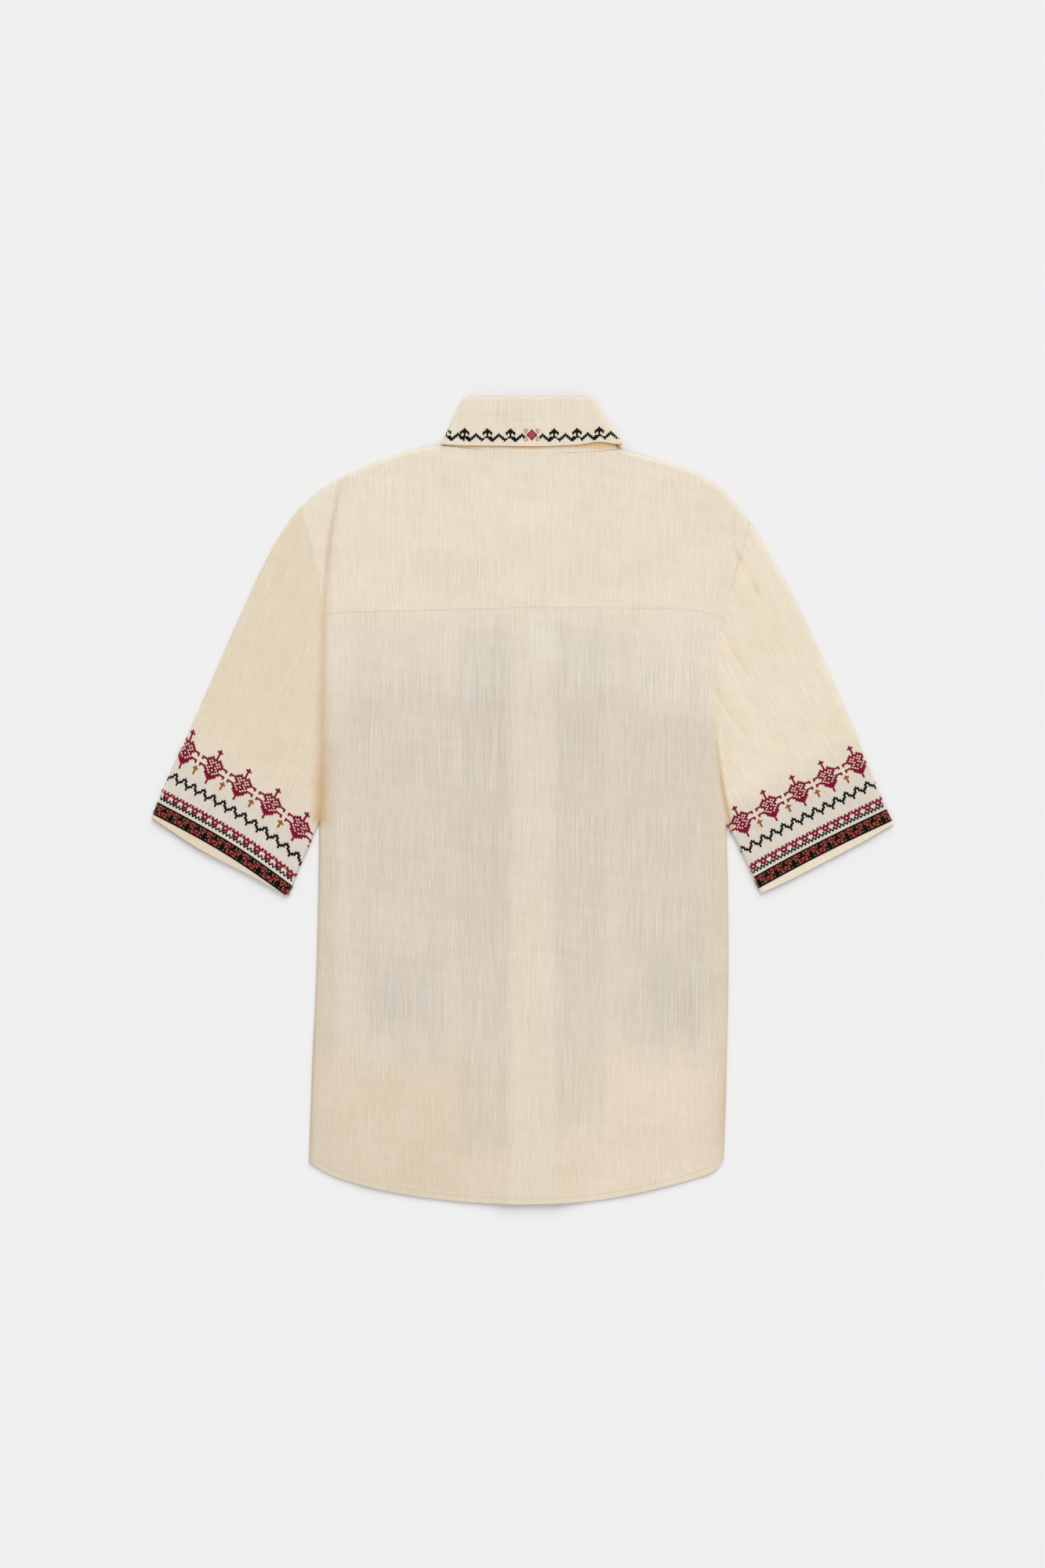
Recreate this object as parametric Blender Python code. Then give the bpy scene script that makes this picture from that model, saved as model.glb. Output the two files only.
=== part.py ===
"""A short-sleeved embroidered shirt, laid face down on a table with its back up.

Every piece that is cut and sewn is a closed cloth wall of its own: back, yoke, two fronts, button band,
two sleeve tubes, collar stand and folded collar leaf, with the buttons under the band. Lengths are in
millimetres until a mesh is made. x runs to the wearer's right sleeve, y to the collar, z up.
"""

import math

import bmesh
import bpy
import numpy as np
from mathutils import Vector

MM = 0.001

# Cloth and seams
CLOTH = 1.0  # wall of a single layer of cloth
DOUBLE = 1.2  # wall of the button band, collar stand and collar leaf
SEAM = 0.3  # gap between two pieces at a seam
CURVED_SEAM = 0.5  # extra gap at the curved seams, whose faces are flat between their points
EASE = 0.4  # gap between two layers that lie on each other
LOFT = 3.6  # how far the top layer's face stands above the layers under it
FOLD = 5.0  # width over which cloth turns down at a folded side
HEM_SHOW = 1.5  # how far a cuff's lower layer reaches past its upper one

# Button band and buttons
BAND_X = 9.6
BAND_WIDTH = 40.0
BAND_RAMP = 38.0  # width over which a front comes down from the band to the table
BAND_FLAT = 4.0  # how far past the band's edges the fronts stay at its height
BAND_HEM_Y = -410.5
LAP_FLAT = 0.8  # how far past the band's edge the lapped front stays raised
LAP_RAMP = 20.0
BUTTON_RADIUS = 5.5
BUTTON_THICK = 1.8
BUTTON_DISH = 0.45  # depth of the dished middle
DISH_FLOOR = 0.62  # radius of the dish's floor and of its rim, as shares of the button's
DISH_RIM = 0.74
BUTTON_HOLE = 0.8  # radius of one of the four thread holes
BUTTON_HOLE_SPREAD = 1.5
BUTTON_SIDES = 16
BAND_BUTTONS = 6
TOP_BUTTON_Y = 250.0
BUTTON_STEP = 90.0
STAND_BUTTON_Y = 302.0

# Collar: the leaf is folded over the stand, and both turn round the sides of the neck
LEAF_ROLL = 1.05  # radius of the fold between the stand's level and the leaf's
NECK_TURN = 1.75  # radius at which the stand turns round the side of the neck
LEAF_SPREAD = 10.0  # distance of a leaf's front end from the middle of the band
STAND_LAP = 9.0  # how far the stand's ends reach past the middle of the band
NECK_AXIS = NECK_TURN + 2 * LEAF_ROLL + DOUBLE / 2  # height of the collar's middle plane
LIFT = NECK_AXIS - NECK_TURN - DOUBLE / 2  # height of the fronts over the leaf's points and the buttons
LAP = DOUBLE + EASE  # how much higher the right front lies where it laps over the band
TIP_LIFT = 1.6  # the free right corner of the leaf stands this much off the shoulder
LAP_SHORT = 2.0  # the right front stops this far inside the band's far edge
TIP_X, TIP_X_RAMP = 62.0, 40.0  # where the free corner starts to rise, and over how far
TIP_Y, TIP_Y_RAMP = 392.0, 32.0
STAND_LAP_X, STAND_LAP_X_RAMP = 14.0, 12.0  # the stand's lapped end comes down past here
STAND_LAP_Y, STAND_LAP_Y_RAMP = 322.0, 14.0

# Rise of the fronts over the collar's points, and how the top layer lies over them
NECK_RISE_X, NECK_RISE_X_RAMP = 96.0, 44.0
NECK_RISE_Y, NECK_RISE_Y_RAMP = 212.0, 42.0
LAP_END_Y, LAP_END_RAMP = 280.0, 30.0  # the top layer leaves the lapped band above here
BAND_PRESS = 1.0  # how much closer the top layer lies to the band
BAND_PRESS_IN = 8.0
PRESS_END_Y, PRESS_END_RAMP = 230.0, 60.0
FOLDS_END_Y, FOLDS_END_RAMP = 120.0, 90.0
HEM_SINK = 1.6  # how much closer the back lies to the fronts at its hem
HEM_SINK_HEIGHT = 70.0
HEM_SINK_SPARED = 0.7  # share of that which the button band holds off
SLEEVE_MIDDLE = 1.2  # height of a sleeve's folds over the lower layer
UNDERARM_SHARE = 0.518  # where along a front's side edge the armhole starts
YOKE_SHARE = 0.836  # and where the yoke's end starts, over it
UNDER_FOLD = 3.0  # width over which a sleeve's underside turns up at its folds

# How finely the grids are divided: distances from an edge, then the number of even steps between
BODY_WIDTH = 420.0
BACK_EDGE = (0.0, 0.5, 1.8, 4.5, 9.0)
YOKE_EDGE = (0.0, 0.8, 2.5, 6.0, 12.0)
SLEEVE_WIDTH = 220.0
SLEEVE_EDGE = (0.0, 0.6, 2.0, 4.5, 8.0)
COLLAR_FRONT_POINTS = 9
COLLAR_BACK_POINTS = 15
COLLAR_TURN_POINTS = 7

# Collar seen from above, as offsets from its middle at COLLAR_X. It leans to the left above NECK_SIDE_Y.
COLLAR_X = 9.0
NECK_SIDE_Y = 362.0
LEAN = 0.07
NECK_FRONT_Y = 285.0
STAND_TOP_FRONT = ((-9.6, 314.0), (10.0, 314.5), (36.0, 327.0), (58.0, 356.0), (72.0, 388.0))
STAND_TOP_BACK = ((-40.0, 386.5), (8.0, 385.5), (56.0, 386.0))
LEAF_FOLD_FRONT = ((10.0, 319.5), (24.0, 325.5), (36.0, 337.0), (52.0, 368.0), (60.5, 409.3))
LEAF_FOLD_BACK = ((-20.0, 409.3), (8.0, 409.3), (36.0, 409.3))
LEAF_EDGE_FRONT = ((58.0, 262.0), (70.0, 284.0), (80.0, 312.0), (86.5, 338.0), (88.5, 363.0))
LEAF_EDGE_BACK = ((-53.6, 362.0), (-5.0, 361.5), (23.2, 361.5), (55.2, 362.8), (78.0, 365.6))

# Outlines seen from above. Each row is a point (x, y), and a smooth curve runs through them.
HEM = (
    (-218.4, -368.0),
    (-190.0, -383.5),
    (-135.0, -398.5),
    (-70.0, -407.8),
    (7.0, -411.0),
    (76.0, -407.2),
    (136.0, -395.5),
    (178.0, -384.2),
    (197.0, -376.0),
    (205.0, -364.0),
)
LEFT_SIDE = (
    (-218.4, -368.0),
    (-216.5, -320.0),
    (-214.5, -262.0),
    (-211.0, -190.0),
    (-208.6, -100.0),
    (-207.6, -22.0),
)
RIGHT_SIDE = (
    (205.0, -364.0),
    (206.5, -320.0),
    (208.0, -262.0),
    (209.6, -180.0),
    (209.2, -100.0),
    (207.4, -24.0),
)
LEFT_ARMHOLE = ((-207.6, -22.0), (-206.3, 15.0), (-205.0, 65.0), (-203.5, 121.0), (-204.0, 187.5))
LEFT_YOKE_END = ((-204.0, 187.5), (-208.0, 228.0), (-216.0, 263.0), (-226.0, 300.0))
RIGHT_ARMHOLE = ((207.4, -24.0), (203.0, 15.0), (197.5, 65.0), (195.5, 121.0), (204.0, 186.0))
RIGHT_YOKE_END = ((204.0, 186.0), (212.0, 218.0), (221.0, 247.0), (231.5, 284.0))
LEFT_SHOULDER = (
    (-226.0, 300.0),
    (-204.0, 319.5),
    (-172.0, 336.0),
    (-140.8, 349.0),
    (-106.4, 359.0),
    (-80.0, 362.0),
)
RIGHT_SHOULDER = (
    (231.5, 284.0),
    (216.0, 303.5),
    (201.0, 319.0),
    (178.0, 334.5),
    (133.6, 349.0),
    (98.0, 358.0),
)
YOKE_SEAM = (
    (-204.0, 187.5),
    (-190.0, 191.5),
    (-130.0, 193.0),
    (0.0, 196.3),
    (138.0, 195.8),
    (175.0, 194.0),
    (204.0, 186.0),
)
NECK_BACK = ((-80.0, 362.0), (-38.0, 357.0), (8.0, 354.5), (56.0, 355.0), (98.0, 358.0))
NECK_LEFT = ((-80.0, 362.0), (-70.0, 330.0), (-46.0, 300.0), (-10.4, 285.0))
NECK_RIGHT = ((98.0, 358.0), (89.0, 330.0), (65.0, 300.0), (29.6, 285.0))
LEFT_SLEEVE_TOP = (
    (-226.0, 300.0),
    (-236.0, 288.0),
    (-256.0, 256.5),
    (-279.0, 209.0),
    (-307.5, 145.0),
    (-335.5, 81.0),
    (-365.0, 17.0),
    (-378.5, -17.0),
)
LEFT_CUFF = (
    (-378.5, -17.0),
    (-330.0, -49.0),
    (-279.0, -75.0),
    (-246.0, -93.5),
    (-238.4, -96.0),
)
LEFT_UNDERARM = (
    (-207.6, -22.0),
    (-212.6, -33.0),
    (-219.5, -50.0),
    (-226.6, -65.0),
    (-238.4, -96.0),
)
RIGHT_SLEEVE_TOP = (
    (231.5, 284.0),
    (247.5, 257.0),
    (274.5, 209.0),
    (305.0, 145.0),
    (333.5, 81.0),
    (359.5, 17.0),
    (378.5, -23.0),
)
RIGHT_CUFF = (
    (378.5, -23.0),
    (344.0, -43.0),
    (308.0, -62.0),
    (270.0, -81.5),
    (242.5, -94.0),
)
RIGHT_UNDERARM = ((207.4, -24.0), (213.2, -33.5), (222.0, -50.0), (242.5, -94.0))

# Creases of the top layer. Each row: start x, start y, end x, end y, depth, width.
CREASES = (
    (-184.0, 328.0, -198.0, 250.0, 1.4, 5.0),
    (-198.0, 250.0, -204.0, 187.5, 1.8, 7.0),
    (-204.0, 187.5, -203.5, 121.0, 1.9, 9.0),
    (-203.5, 121.0, -206.5, 5.0, 1.9, 9.0),
    (231.5, 284.0, 221.0, 247.0, 0.5, 5.0),
    (221.0, 247.0, 204.0, 186.0, 0.8, 6.0),
    (204.0, 186.0, 195.5, 121.0, 0.9, 7.0),
    (195.5, 121.0, 203.5, 15.0, 1.2, 8.0),
    (215.0, 292.0, 221.0, 247.0, 0.9, 5.0),
    (221.0, 247.0, 247.0, 196.0, 1.1, 5.0),
    (200.0, 150.0, 262.0, 60.0, 0.6, 9.0),
    (206.0, 70.0, 276.0, -20.0, 0.5, 9.0),
    (-238.0, 250.0, -292.0, 120.0, 0.5, 10.0),
    (-222.0, 120.0, -262.0, 10.0, 0.6, 10.0),
)
# Long soft folds down the back. Each row: x, height, width.
SOFT_FOLDS = (
    (-150.0, 0.45, 22.0),
    (-92.0, -0.40, 18.0),
    (-48.0, 0.35, 16.0),
    (78.0, -0.35, 18.0),
    (120.0, 0.45, 20.0),
    (168.0, -0.35, 16.0),
)

COLOURS = {
    "cream cloth": ((0.84, 0.74, 0.56), 0.85),
    "horn button": ((0.62, 0.52, 0.38), 0.35),
}


def smooth(value):
    """0 below 0, 1 above 1, with an even rise between them."""
    v = np.clip(value, 0.0, 1.0)
    return v * v * (3 - 2 * v)


def curve(points):
    """A smooth curve through points, as a function of the share of its length from 0 to 1."""
    p = np.array(points, float)
    before, after = 2 * p[0] - p[1], 2 * p[-1] - p[-2]
    q = np.vstack([before, p, after])
    fine = []
    for i in range(1, len(q) - 2):
        for u in np.linspace(0, 1, 24, endpoint=False):
            fine.append(
                0.5
                * (
                    2 * q[i]
                    + (q[i + 1] - q[i - 1]) * u
                    + (2 * q[i - 1] - 5 * q[i] + 4 * q[i + 1] - q[i + 2]) * u**2
                    + (3 * q[i] - q[i - 1] - 3 * q[i + 1] + q[i + 2]) * u**3
                )
            )
    fine = np.array([*fine, q[-2]])
    along = np.concatenate([[0], np.cumsum(np.linalg.norm(np.diff(fine, axis=0), axis=1))])
    along /= along[-1]
    return lambda t: np.stack([np.interp(t, along, fine[:, k]) for k in (0, 1)], axis=-1)


def path(*lines):
    """Several curves end to end as one, by the share of its length from 0 to 1."""
    p = np.concatenate([line(np.linspace(0, 1, 120)) for line in lines])
    along = np.concatenate([[0], np.cumsum(np.linalg.norm(np.diff(p, axis=0), axis=1))])
    along /= along[-1]
    return lambda t: np.stack([np.interp(t, along, p[:, k]) for k in (0, 1)], axis=-1)


def between(line, first, last):
    """The stretch of a curve that runs from x = first to x = last."""
    shares = np.linspace(0, 1, 400)
    x = line(shares)[:, 0]
    order = np.argsort(x)
    a, b = np.interp((first, last), x[order], shares[order])
    return lambda t: line(a + (b - a) * np.asarray(t, float))


def backwards(line):
    return lambda t: line(1 - np.asarray(t, float))


def inset(line, amount, side):
    """The curve moved sideways by amount(t): side 1 to the left of its direction and -1 to the right."""

    def moved(t):
        t = np.asarray(t, float)
        d = line(np.clip(t + 1e-3, 0, 1)) - line(np.clip(t - 1e-3, 0, 1))
        d = d / np.linalg.norm(d, axis=-1, keepdims=True)
        normal = np.stack([-d[..., 1], d[..., 0]], axis=-1) * side
        return line(t) + normal * np.broadcast_to(amount(t), t.shape)[..., None]

    return moved


def patch(bottom, top, left, right, s, t):
    """Points spread between four edge curves: s runs from left to right and t from bottom to top."""
    s, t = np.asarray(s, float), np.asarray(t, float)
    b, a, l, r = bottom(s)[None], top(s)[None], left(t)[:, None], right(t)[:, None]
    u, v = s[None, :, None], t[:, None, None]
    left_chord = (1 - v) * l[:1] + v * l[-1:]
    right_chord = (1 - v) * r[:1] + v * r[-1:]
    return (1 - v) * b + v * a + (1 - u) * (l - left_chord) + u * (r - right_chord)


def distance(points, line, count=160):
    """Distance of each point from a curve."""
    p = line(np.linspace(0, 1, count))
    a, d = p[:-1], np.diff(p, axis=0)
    shape = points.shape[:-1]
    q = points.reshape(-1, 1, 2)
    u = np.clip(((q - a) * d).sum(-1) / (d * d).sum(-1), 0, 1)
    return np.linalg.norm(q - a - u[..., None] * d, axis=-1).min(1).reshape(shape)


def steps(near, inner, far=None):
    """Shares from 0 to 1: those in near at both ends, and inner even steps between them."""
    far = near if far is None else far
    middle = np.linspace(near[-1], 1 - far[-1], inner + 2)[1:-1]
    return np.concatenate([near, middle, 1 - np.array(far[::-1])])


def band_ramp(x, half):
    """1 within half of the band's middle, falling to 0 over BAND_RAMP."""
    return 1 - smooth((np.abs(x - BAND_X) - half) / BAND_RAMP)


def front_base(x, y):
    """Underside of the fronts: on the table, but raised over the buttons and over the collar's points."""
    band = band_ramp(x, BAND_WIDTH / 2 + BAND_FLAT)
    neck = 1 - smooth((np.abs(x - BAND_X) - NECK_RISE_X) / NECK_RISE_X_RAMP)
    neck = neck * smooth((y - NECK_RISE_Y) / NECK_RISE_Y_RAMP)
    return LIFT * (1 - (1 - band) * (1 - neck))


def lap(x):
    """1 where the right front lies over the band, falling to 0 beside it."""
    return 1 - smooth((np.abs(x - BAND_X) - BAND_WIDTH / 2 - LAP_FLAT) / LAP_RAMP)


def crease_depth(points):
    deepest = np.zeros(points.shape[:-1])
    for x0, y0, x1, y1, depth, width in CREASES:
        a, b = np.array((x0, y0)), np.array((x1, y1))
        u = np.clip(((points - a) @ (b - a)) / ((b - a) @ (b - a)), 0, 1)
        away = np.linalg.norm(points - a - u[..., None] * (b - a), axis=-1)
        deepest = np.maximum(deepest, depth * np.exp(-((away / width) ** 2)))
    return deepest


def top_face(points):
    """Height of the top layer's outer face: back, yoke and the upper side of the sleeves."""
    x, y = points[..., 0], points[..., 1]
    under = front_base(x, y) + CLOTH + LAP * lap(x) * (1 - smooth((y - LAP_END_Y) / LAP_END_RAMP))
    pressed = band_ramp(x, BAND_WIDTH / 2 - BAND_PRESS_IN) * (1 - smooth((y - PRESS_END_Y) / PRESS_END_RAMP))
    ease = LOFT - BAND_PRESS * pressed
    waves = np.zeros(x.shape)
    for at, height, width in SOFT_FOLDS:
        waves += height * np.exp(-(((x - at) / width) ** 2))
    return under + ease + waves * (1 - smooth((y - FOLDS_END_Y) / FOLDS_END_RAMP)) - crease_depth(points)


def turned(away, width):
    """Share of its height that cloth has reached at a distance from the fold it turns down at."""
    return np.sqrt(np.clip(1 - (1 - np.clip(away / width, 0, 1)) ** 2, 0, 1))


def raised(plan, height):
    return np.concatenate([plan, height[..., None]], axis=-1)


def solid(name, points, faces, finish="cream cloth"):
    mesh = bpy.data.meshes.new(name)
    mesh.from_pydata([tuple(p) for p in np.asarray(points) * MM], [], faces)
    shape = bmesh.new()
    shape.from_mesh(mesh)
    bmesh.ops.recalc_face_normals(shape, faces=shape.faces)
    shape.to_mesh(mesh)
    shape.free()
    mesh.shade_smooth()
    mesh.set_sharp_from_angle(angle=math.radians(40))
    mesh.materials.append(material(finish))
    piece = bpy.data.objects.new(name, mesh)
    bpy.context.scene.collection.objects.link(piece)
    return piece


def material(name):
    found = bpy.data.materials.get(name)
    if found:
        return found
    made = bpy.data.materials.new(name)
    made.use_nodes = True
    colour, roughness = COLOURS[name]
    shader = made.node_tree.nodes["Principled BSDF"]
    shader.inputs["Base Color"].default_value = (*colour, 1.0)
    shader.inputs["Roughness"].default_value = roughness
    return made


def wall(name, outer, inner, closed=False):
    """A solid between two grids of points. closed joins each row's last point to its first."""
    rows, columns = outer.shape[:2]
    size = rows * columns
    faces = []

    def at(i, j, layer):
        return layer * size + i * columns + j % columns

    for layer in (0, 1):
        for i in range(rows - 1):
            for j in range(columns if closed else columns - 1):
                faces.append(
                    (at(i, j, layer), at(i, j + 1, layer), at(i + 1, j + 1, layer), at(i + 1, j, layer))
                )
    for i in (0, rows - 1):
        for j in range(columns if closed else columns - 1):
            faces.append((at(i, j, 0), at(i, j + 1, 0), at(i, j + 1, 1), at(i, j, 1)))
    if not closed:
        for j in (0, columns - 1):
            for i in range(rows - 1):
                faces.append((at(i, j, 0), at(i + 1, j, 0), at(i + 1, j, 1), at(i, j, 1)))
    return solid(name, np.concatenate([outer.reshape(-1, 3), inner.reshape(-1, 3)]), faces)


def snapped(values, *targets):
    """The values with the nearest one moved onto each target."""
    out = np.array(values)
    for target in targets:
        out[np.abs(out - target).argmin()] = target
    return out


def length(line):
    return np.linalg.norm(np.diff(line(np.linspace(0, 1, 60)), axis=0), axis=1).sum()


def sewn_and_folded(first, second):
    """A side edge of two curves end to end, and the first one's share of its length."""
    return path(first, second), length(first) / (length(first) + length(second))


def back():
    s = steps(np.array(BACK_EDGE) / BODY_WIDTH, 16)
    left_fold, right_fold = curve(LEFT_SIDE), curve(RIGHT_SIDE)
    left, left_share = sewn_and_folded(left_fold, curve(LEFT_ARMHOLE))
    right, right_share = sewn_and_folded(right_fold, curve(RIGHT_ARMHOLE))
    t = snapped(steps((0.0, 0.012), 18), (left_share + right_share) / 2)
    faces = []
    for thick in (0.0, CLOTH):
        sides = [
            inset(line, lambda t, share=share: SEAM / 2 + thick * smooth((share + 0.02 - t) / 0.03), side)
            for line, share, side in ((left, left_share, -1), (right, right_share, 1))
        ]
        seam = inset(curve(YOKE_SEAM), lambda t: SEAM / 2, -1)
        plan = patch(curve(HEM), seam, *sides, s, t)
        sink = HEM_SINK * (1 - smooth((plan[..., 1] - plan[:1, :, 1]) / HEM_SINK_HEIGHT))
        sink = sink * (1 - HEM_SINK_SPARED * band_ramp(plan[..., 0], BAND_WIDTH / 2))
        height = top_face(plan) - sink - thick
        low = front_base(plan[..., 0], plan[..., 1]) + CLOTH + SEAM + LAP * lap(plan[..., 0])
        away = np.minimum(distance(plan, left_fold), distance(plan, right_fold)) - thick - SEAM / 2
        faces.append(raised(plan, low + (height - low) * turned(away, FOLD - thick)))
    return wall("back", *faces)


def yoke():
    s = steps(np.array(YOKE_EDGE) / BODY_WIDTH, 16)
    t = steps((0.0, 0.02, 0.05), 10)
    left_fold, right_fold = curve(LEFT_SHOULDER), curve(RIGHT_SHOULDER)
    left, left_share = sewn_and_folded(curve(LEFT_YOKE_END), left_fold)
    right, right_share = sewn_and_folded(curve(RIGHT_YOKE_END), right_fold)
    faces = []
    for thick in (0.0, CLOTH):
        sides = [
            inset(line, lambda t, share=share: SEAM / 2 + thick * smooth((t - share + 0.03) / 0.05), side)
            for line, share, side in ((left, left_share, -1), (right, right_share, 1))
        ]
        bottom = inset(curve(YOKE_SEAM), lambda t: SEAM / 2, 1)
        plan = patch(bottom, inset(curve(NECK_BACK), lambda t: SEAM, -1), *sides, s, t)
        height = top_face(plan) - thick
        low = front_base(plan[..., 0], plan[..., 1]) + CLOTH + SEAM
        away = np.minimum(distance(plan, left_fold), distance(plan, right_fold)) - thick - SEAM / 2
        faces.append(raised(plan, low + (height - low) * turned(away, FOLD - thick)))
    return wall("yoke", *faces)


def front(name, hem, top, left, right, lapped):
    """A front panel: flat on the table, and over the band if it is the lapped one."""
    s, t = steps((0.0, 0.02), 13), snapped(steps((0.0, 0.01), 22), UNDERARM_SHARE, YOKE_SHARE)
    plan = patch(hem, top, left, right, s, t)
    x, y = plan[..., 0], plan[..., 1]
    base = front_base(x, y) + (LAP * lap(x) if lapped else 0)
    return wall(name, raised(plan, base), raised(plan, base + CLOTH))


def fronts():
    hem = curve(HEM)
    left_side = path(curve(LEFT_SIDE), curve(LEFT_ARMHOLE), curve(LEFT_YOKE_END))
    right_side = path(curve(RIGHT_SIDE), curve(RIGHT_ARMHOLE), curve(RIGHT_YOKE_END))
    seam_x = BAND_X - BAND_WIDTH / 2 - SEAM
    lap_x = BAND_X - BAND_WIDTH / 2 + LAP_SHORT
    front(
        "front_left",
        between(hem, HEM[0][0], seam_x),
        path(curve(LEFT_SHOULDER), between(curve(NECK_LEFT), NECK_LEFT[0][0], seam_x)),
        inset(left_side, lambda t: SEAM / 2, -1),
        straight((seam_x, BAND_HEM_Y), (seam_x, NECK_FRONT_Y)),
        False,
    )
    front(
        "front_right",
        between(hem, lap_x, HEM[-1][0]),
        path(
            straight((lap_x, NECK_FRONT_Y), NECK_RIGHT[-1]),
            backwards(curve(NECK_RIGHT)),
            backwards(curve(RIGHT_SHOULDER)),
        ),
        straight((lap_x, BAND_HEM_Y), (lap_x, NECK_FRONT_Y)),
        inset(right_side, lambda t: SEAM / 2, 1),
        True,
    )


def trimmed(line, first, last):
    """The curve without its first and last stretch, given in millimetres."""
    whole = length(line)
    return lambda t: line((first + (whole - first - last) * np.asarray(t, float)) / whole)


def straight(start, end):
    a, b = np.array(start), np.array(end)
    return lambda t: a + (b - a) * np.asarray(t, float)[..., None]


def button_band():
    """The outer band, sewn to the left front: the lowest layer but for the buttons."""
    half = BAND_WIDTH / 2
    hem = between(curve(HEM), BAND_X - half, BAND_X + half)
    neck = straight((BAND_X - half, NECK_FRONT_Y), (BAND_X + half, NECK_FRONT_Y))
    left, right = (
        straight((BAND_X + side * half, BAND_HEM_Y), (BAND_X + side * half, NECK_FRONT_Y)) for side in (-1, 1)
    )
    plan = patch(hem, neck, left, right, np.linspace(0, 1, 5), np.linspace(0, 1, 13))
    return wall("button_band", *(raised(plan, np.full(plan.shape[:2], LIFT + z)) for z in (0.0, DOUBLE)))


def sleeve(name, armhole, cuff, underarm, fold, side, hem_show):
    """A flattened tube: the upper side runs from the underarm to the top fold, the lower side back."""
    s = steps(np.array(SLEEVE_EDGE) / SLEEVE_WIDTH, 7)
    t = steps((0.0, 0.02), 14)
    faces = []
    for thick in (0.0, CLOTH):
        plan = patch(
            trimmed(inset(armhole, lambda t: SEAM / 2 + CURVED_SEAM, side), SEAM / 2 + thick, thick),
            trimmed(cuff, SEAM / 2 + thick, thick),
            inset(underarm, lambda t: SEAM / 2 + thick, -side),
            inset(fold, lambda t: thick, side),
            s,
            t,
        )
        width = np.linalg.norm(plan[:, -1] - plan[:, 0], axis=1)[:, None]
        away = np.minimum(s, 1 - s) * width
        middle = CLOTH + SLEEVE_MIDDLE
        share = turned(away, FOLD - thick)
        share[:, (0, -1)] = 0
        top = middle + (top_face(plan) - thick - middle) * share
        low = middle + (thick - middle) * turned(away, UNDER_FOLD - thick * 0.6)
        low[:, (0, -1)] = middle
        under = plan.copy()
        under[..., :2] += (hem_show * t**6)[:, None, None] * np.array((side * -0.5, -0.86)) * share[..., None]
        ring = [raised(plan, top), raised(under, low)[:, -2:0:-1]]
        faces.append(np.concatenate(ring, axis=1))
    return wall(name, *faces, closed=True)


def collar_line(line_left, line_back, line_right, radius):
    """One line round the neck: left front, left turn, back, right turn, right front.

    radius is the line's distance from the collar's middle plane: the front halves lie under that plane
    and the back over it, and the line turns from one to the other at the sides of the neck.
    """
    front_steps = np.linspace(0, 1, COLLAR_FRONT_POINTS)
    turn = np.radians(np.linspace(-90, 90, COLLAR_TURN_POINTS)[1:-1])
    rows = []
    for line, side in ((line_left, -1), (line_right, 1)):
        flat = line(front_steps)
        corner = flat[-1] + np.stack([side * radius * np.cos(turn), 0 * turn], axis=1)
        front_row = raised(flat, np.full(COLLAR_FRONT_POINTS, NECK_AXIS - radius))
        rows.append((front_row, raised(corner, NECK_AXIS + radius * np.sin(turn))))
    back_steps = np.linspace(0, 1, COLLAR_BACK_POINTS)
    back_row = raised(line_back(back_steps), np.full(COLLAR_BACK_POINTS, NECK_AXIS + radius))
    (left, left_turn), (right, right_turn) = rows
    return np.concatenate([left, left_turn, back_row, right_turn[::-1], right[::-1]])


def mixed(first, second, share):
    """A curve that lies between two others."""
    return lambda t: (1 - share) * first(t) + share * second(t)


def halves(points):
    """The left and right curves of the collar's front from one table: offsets from the collar's middle."""
    out = []
    for side in (-1, 1):
        rows = [(COLLAR_X + side * x - LEAN * max(y - NECK_SIDE_Y, 0), y) for x, y in points]
        out.append(curve(rows))
    return out


def collar_lines(front_table, back_table):
    """The three curves of a line round the neck. The back is fitted to the ends of the fronts."""
    left, right = halves(front_table)
    back_line = curve([left(np.array(1.0)), *back_table, right(np.array(1.0))])
    return left, back_line, right


def neck_seam():
    side = NECK_TURN + DOUBLE
    left = path(straight((BAND_X + STAND_LAP, NECK_FRONT_Y), NECK_LEFT[-1]), backwards(curve(NECK_LEFT)))
    right = path(straight((BAND_X - STAND_LAP, NECK_FRONT_Y), NECK_RIGHT[-1]), backwards(curve(NECK_RIGHT)))
    fitted = []
    for line, sign in ((left, -1), (right, 1)):
        clear = inset(line, lambda t: 2 * CURVED_SEAM, sign)
        fitted.append(
            lambda t, clear=clear, sign=sign: clear(t)
            + np.stack([-sign * side * smooth(t * 2 - 1), SEAM + 2.0 * smooth(t * 3 - 2)], axis=-1)
        )
    ends = [line(np.array(1.0)) for line in fitted]
    back_line = curve([ends[0], *[(x, y + SEAM) for x, y in NECK_BACK[1:-1]], ends[1]])
    return fitted[0], back_line, fitted[1]


def sheet_rows(first, second, shares, radius):
    return [collar_line(*(mixed(a, b, share) for a, b in zip(first, second)), radius) for share in shares]


def collar_stand():
    seam, top = neck_seam(), collar_lines(STAND_TOP_FRONT, STAND_TOP_BACK)
    layers = []
    for half in (-DOUBLE / 2, DOUBLE / 2):
        layers.append(np.stack(sheet_rows(seam, top, np.linspace(0, 1, 5), NECK_TURN + half)))
    for layer in layers:
        raise_lapped_end(layer)
    return wall("collar_stand", *layers)


def raise_lapped_end(layer):
    """The right end of the stand lies over the left one, as the right front does over the band."""
    end = layer[:, -COLLAR_FRONT_POINTS:]
    across = 1 - smooth((end[..., 0] - BAND_X - STAND_LAP_X) / STAND_LAP_X_RAMP)
    end[..., 2] += LAP * across * (1 - smooth((end[..., 1] - STAND_LAP_Y) / STAND_LAP_Y_RAMP))


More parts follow.
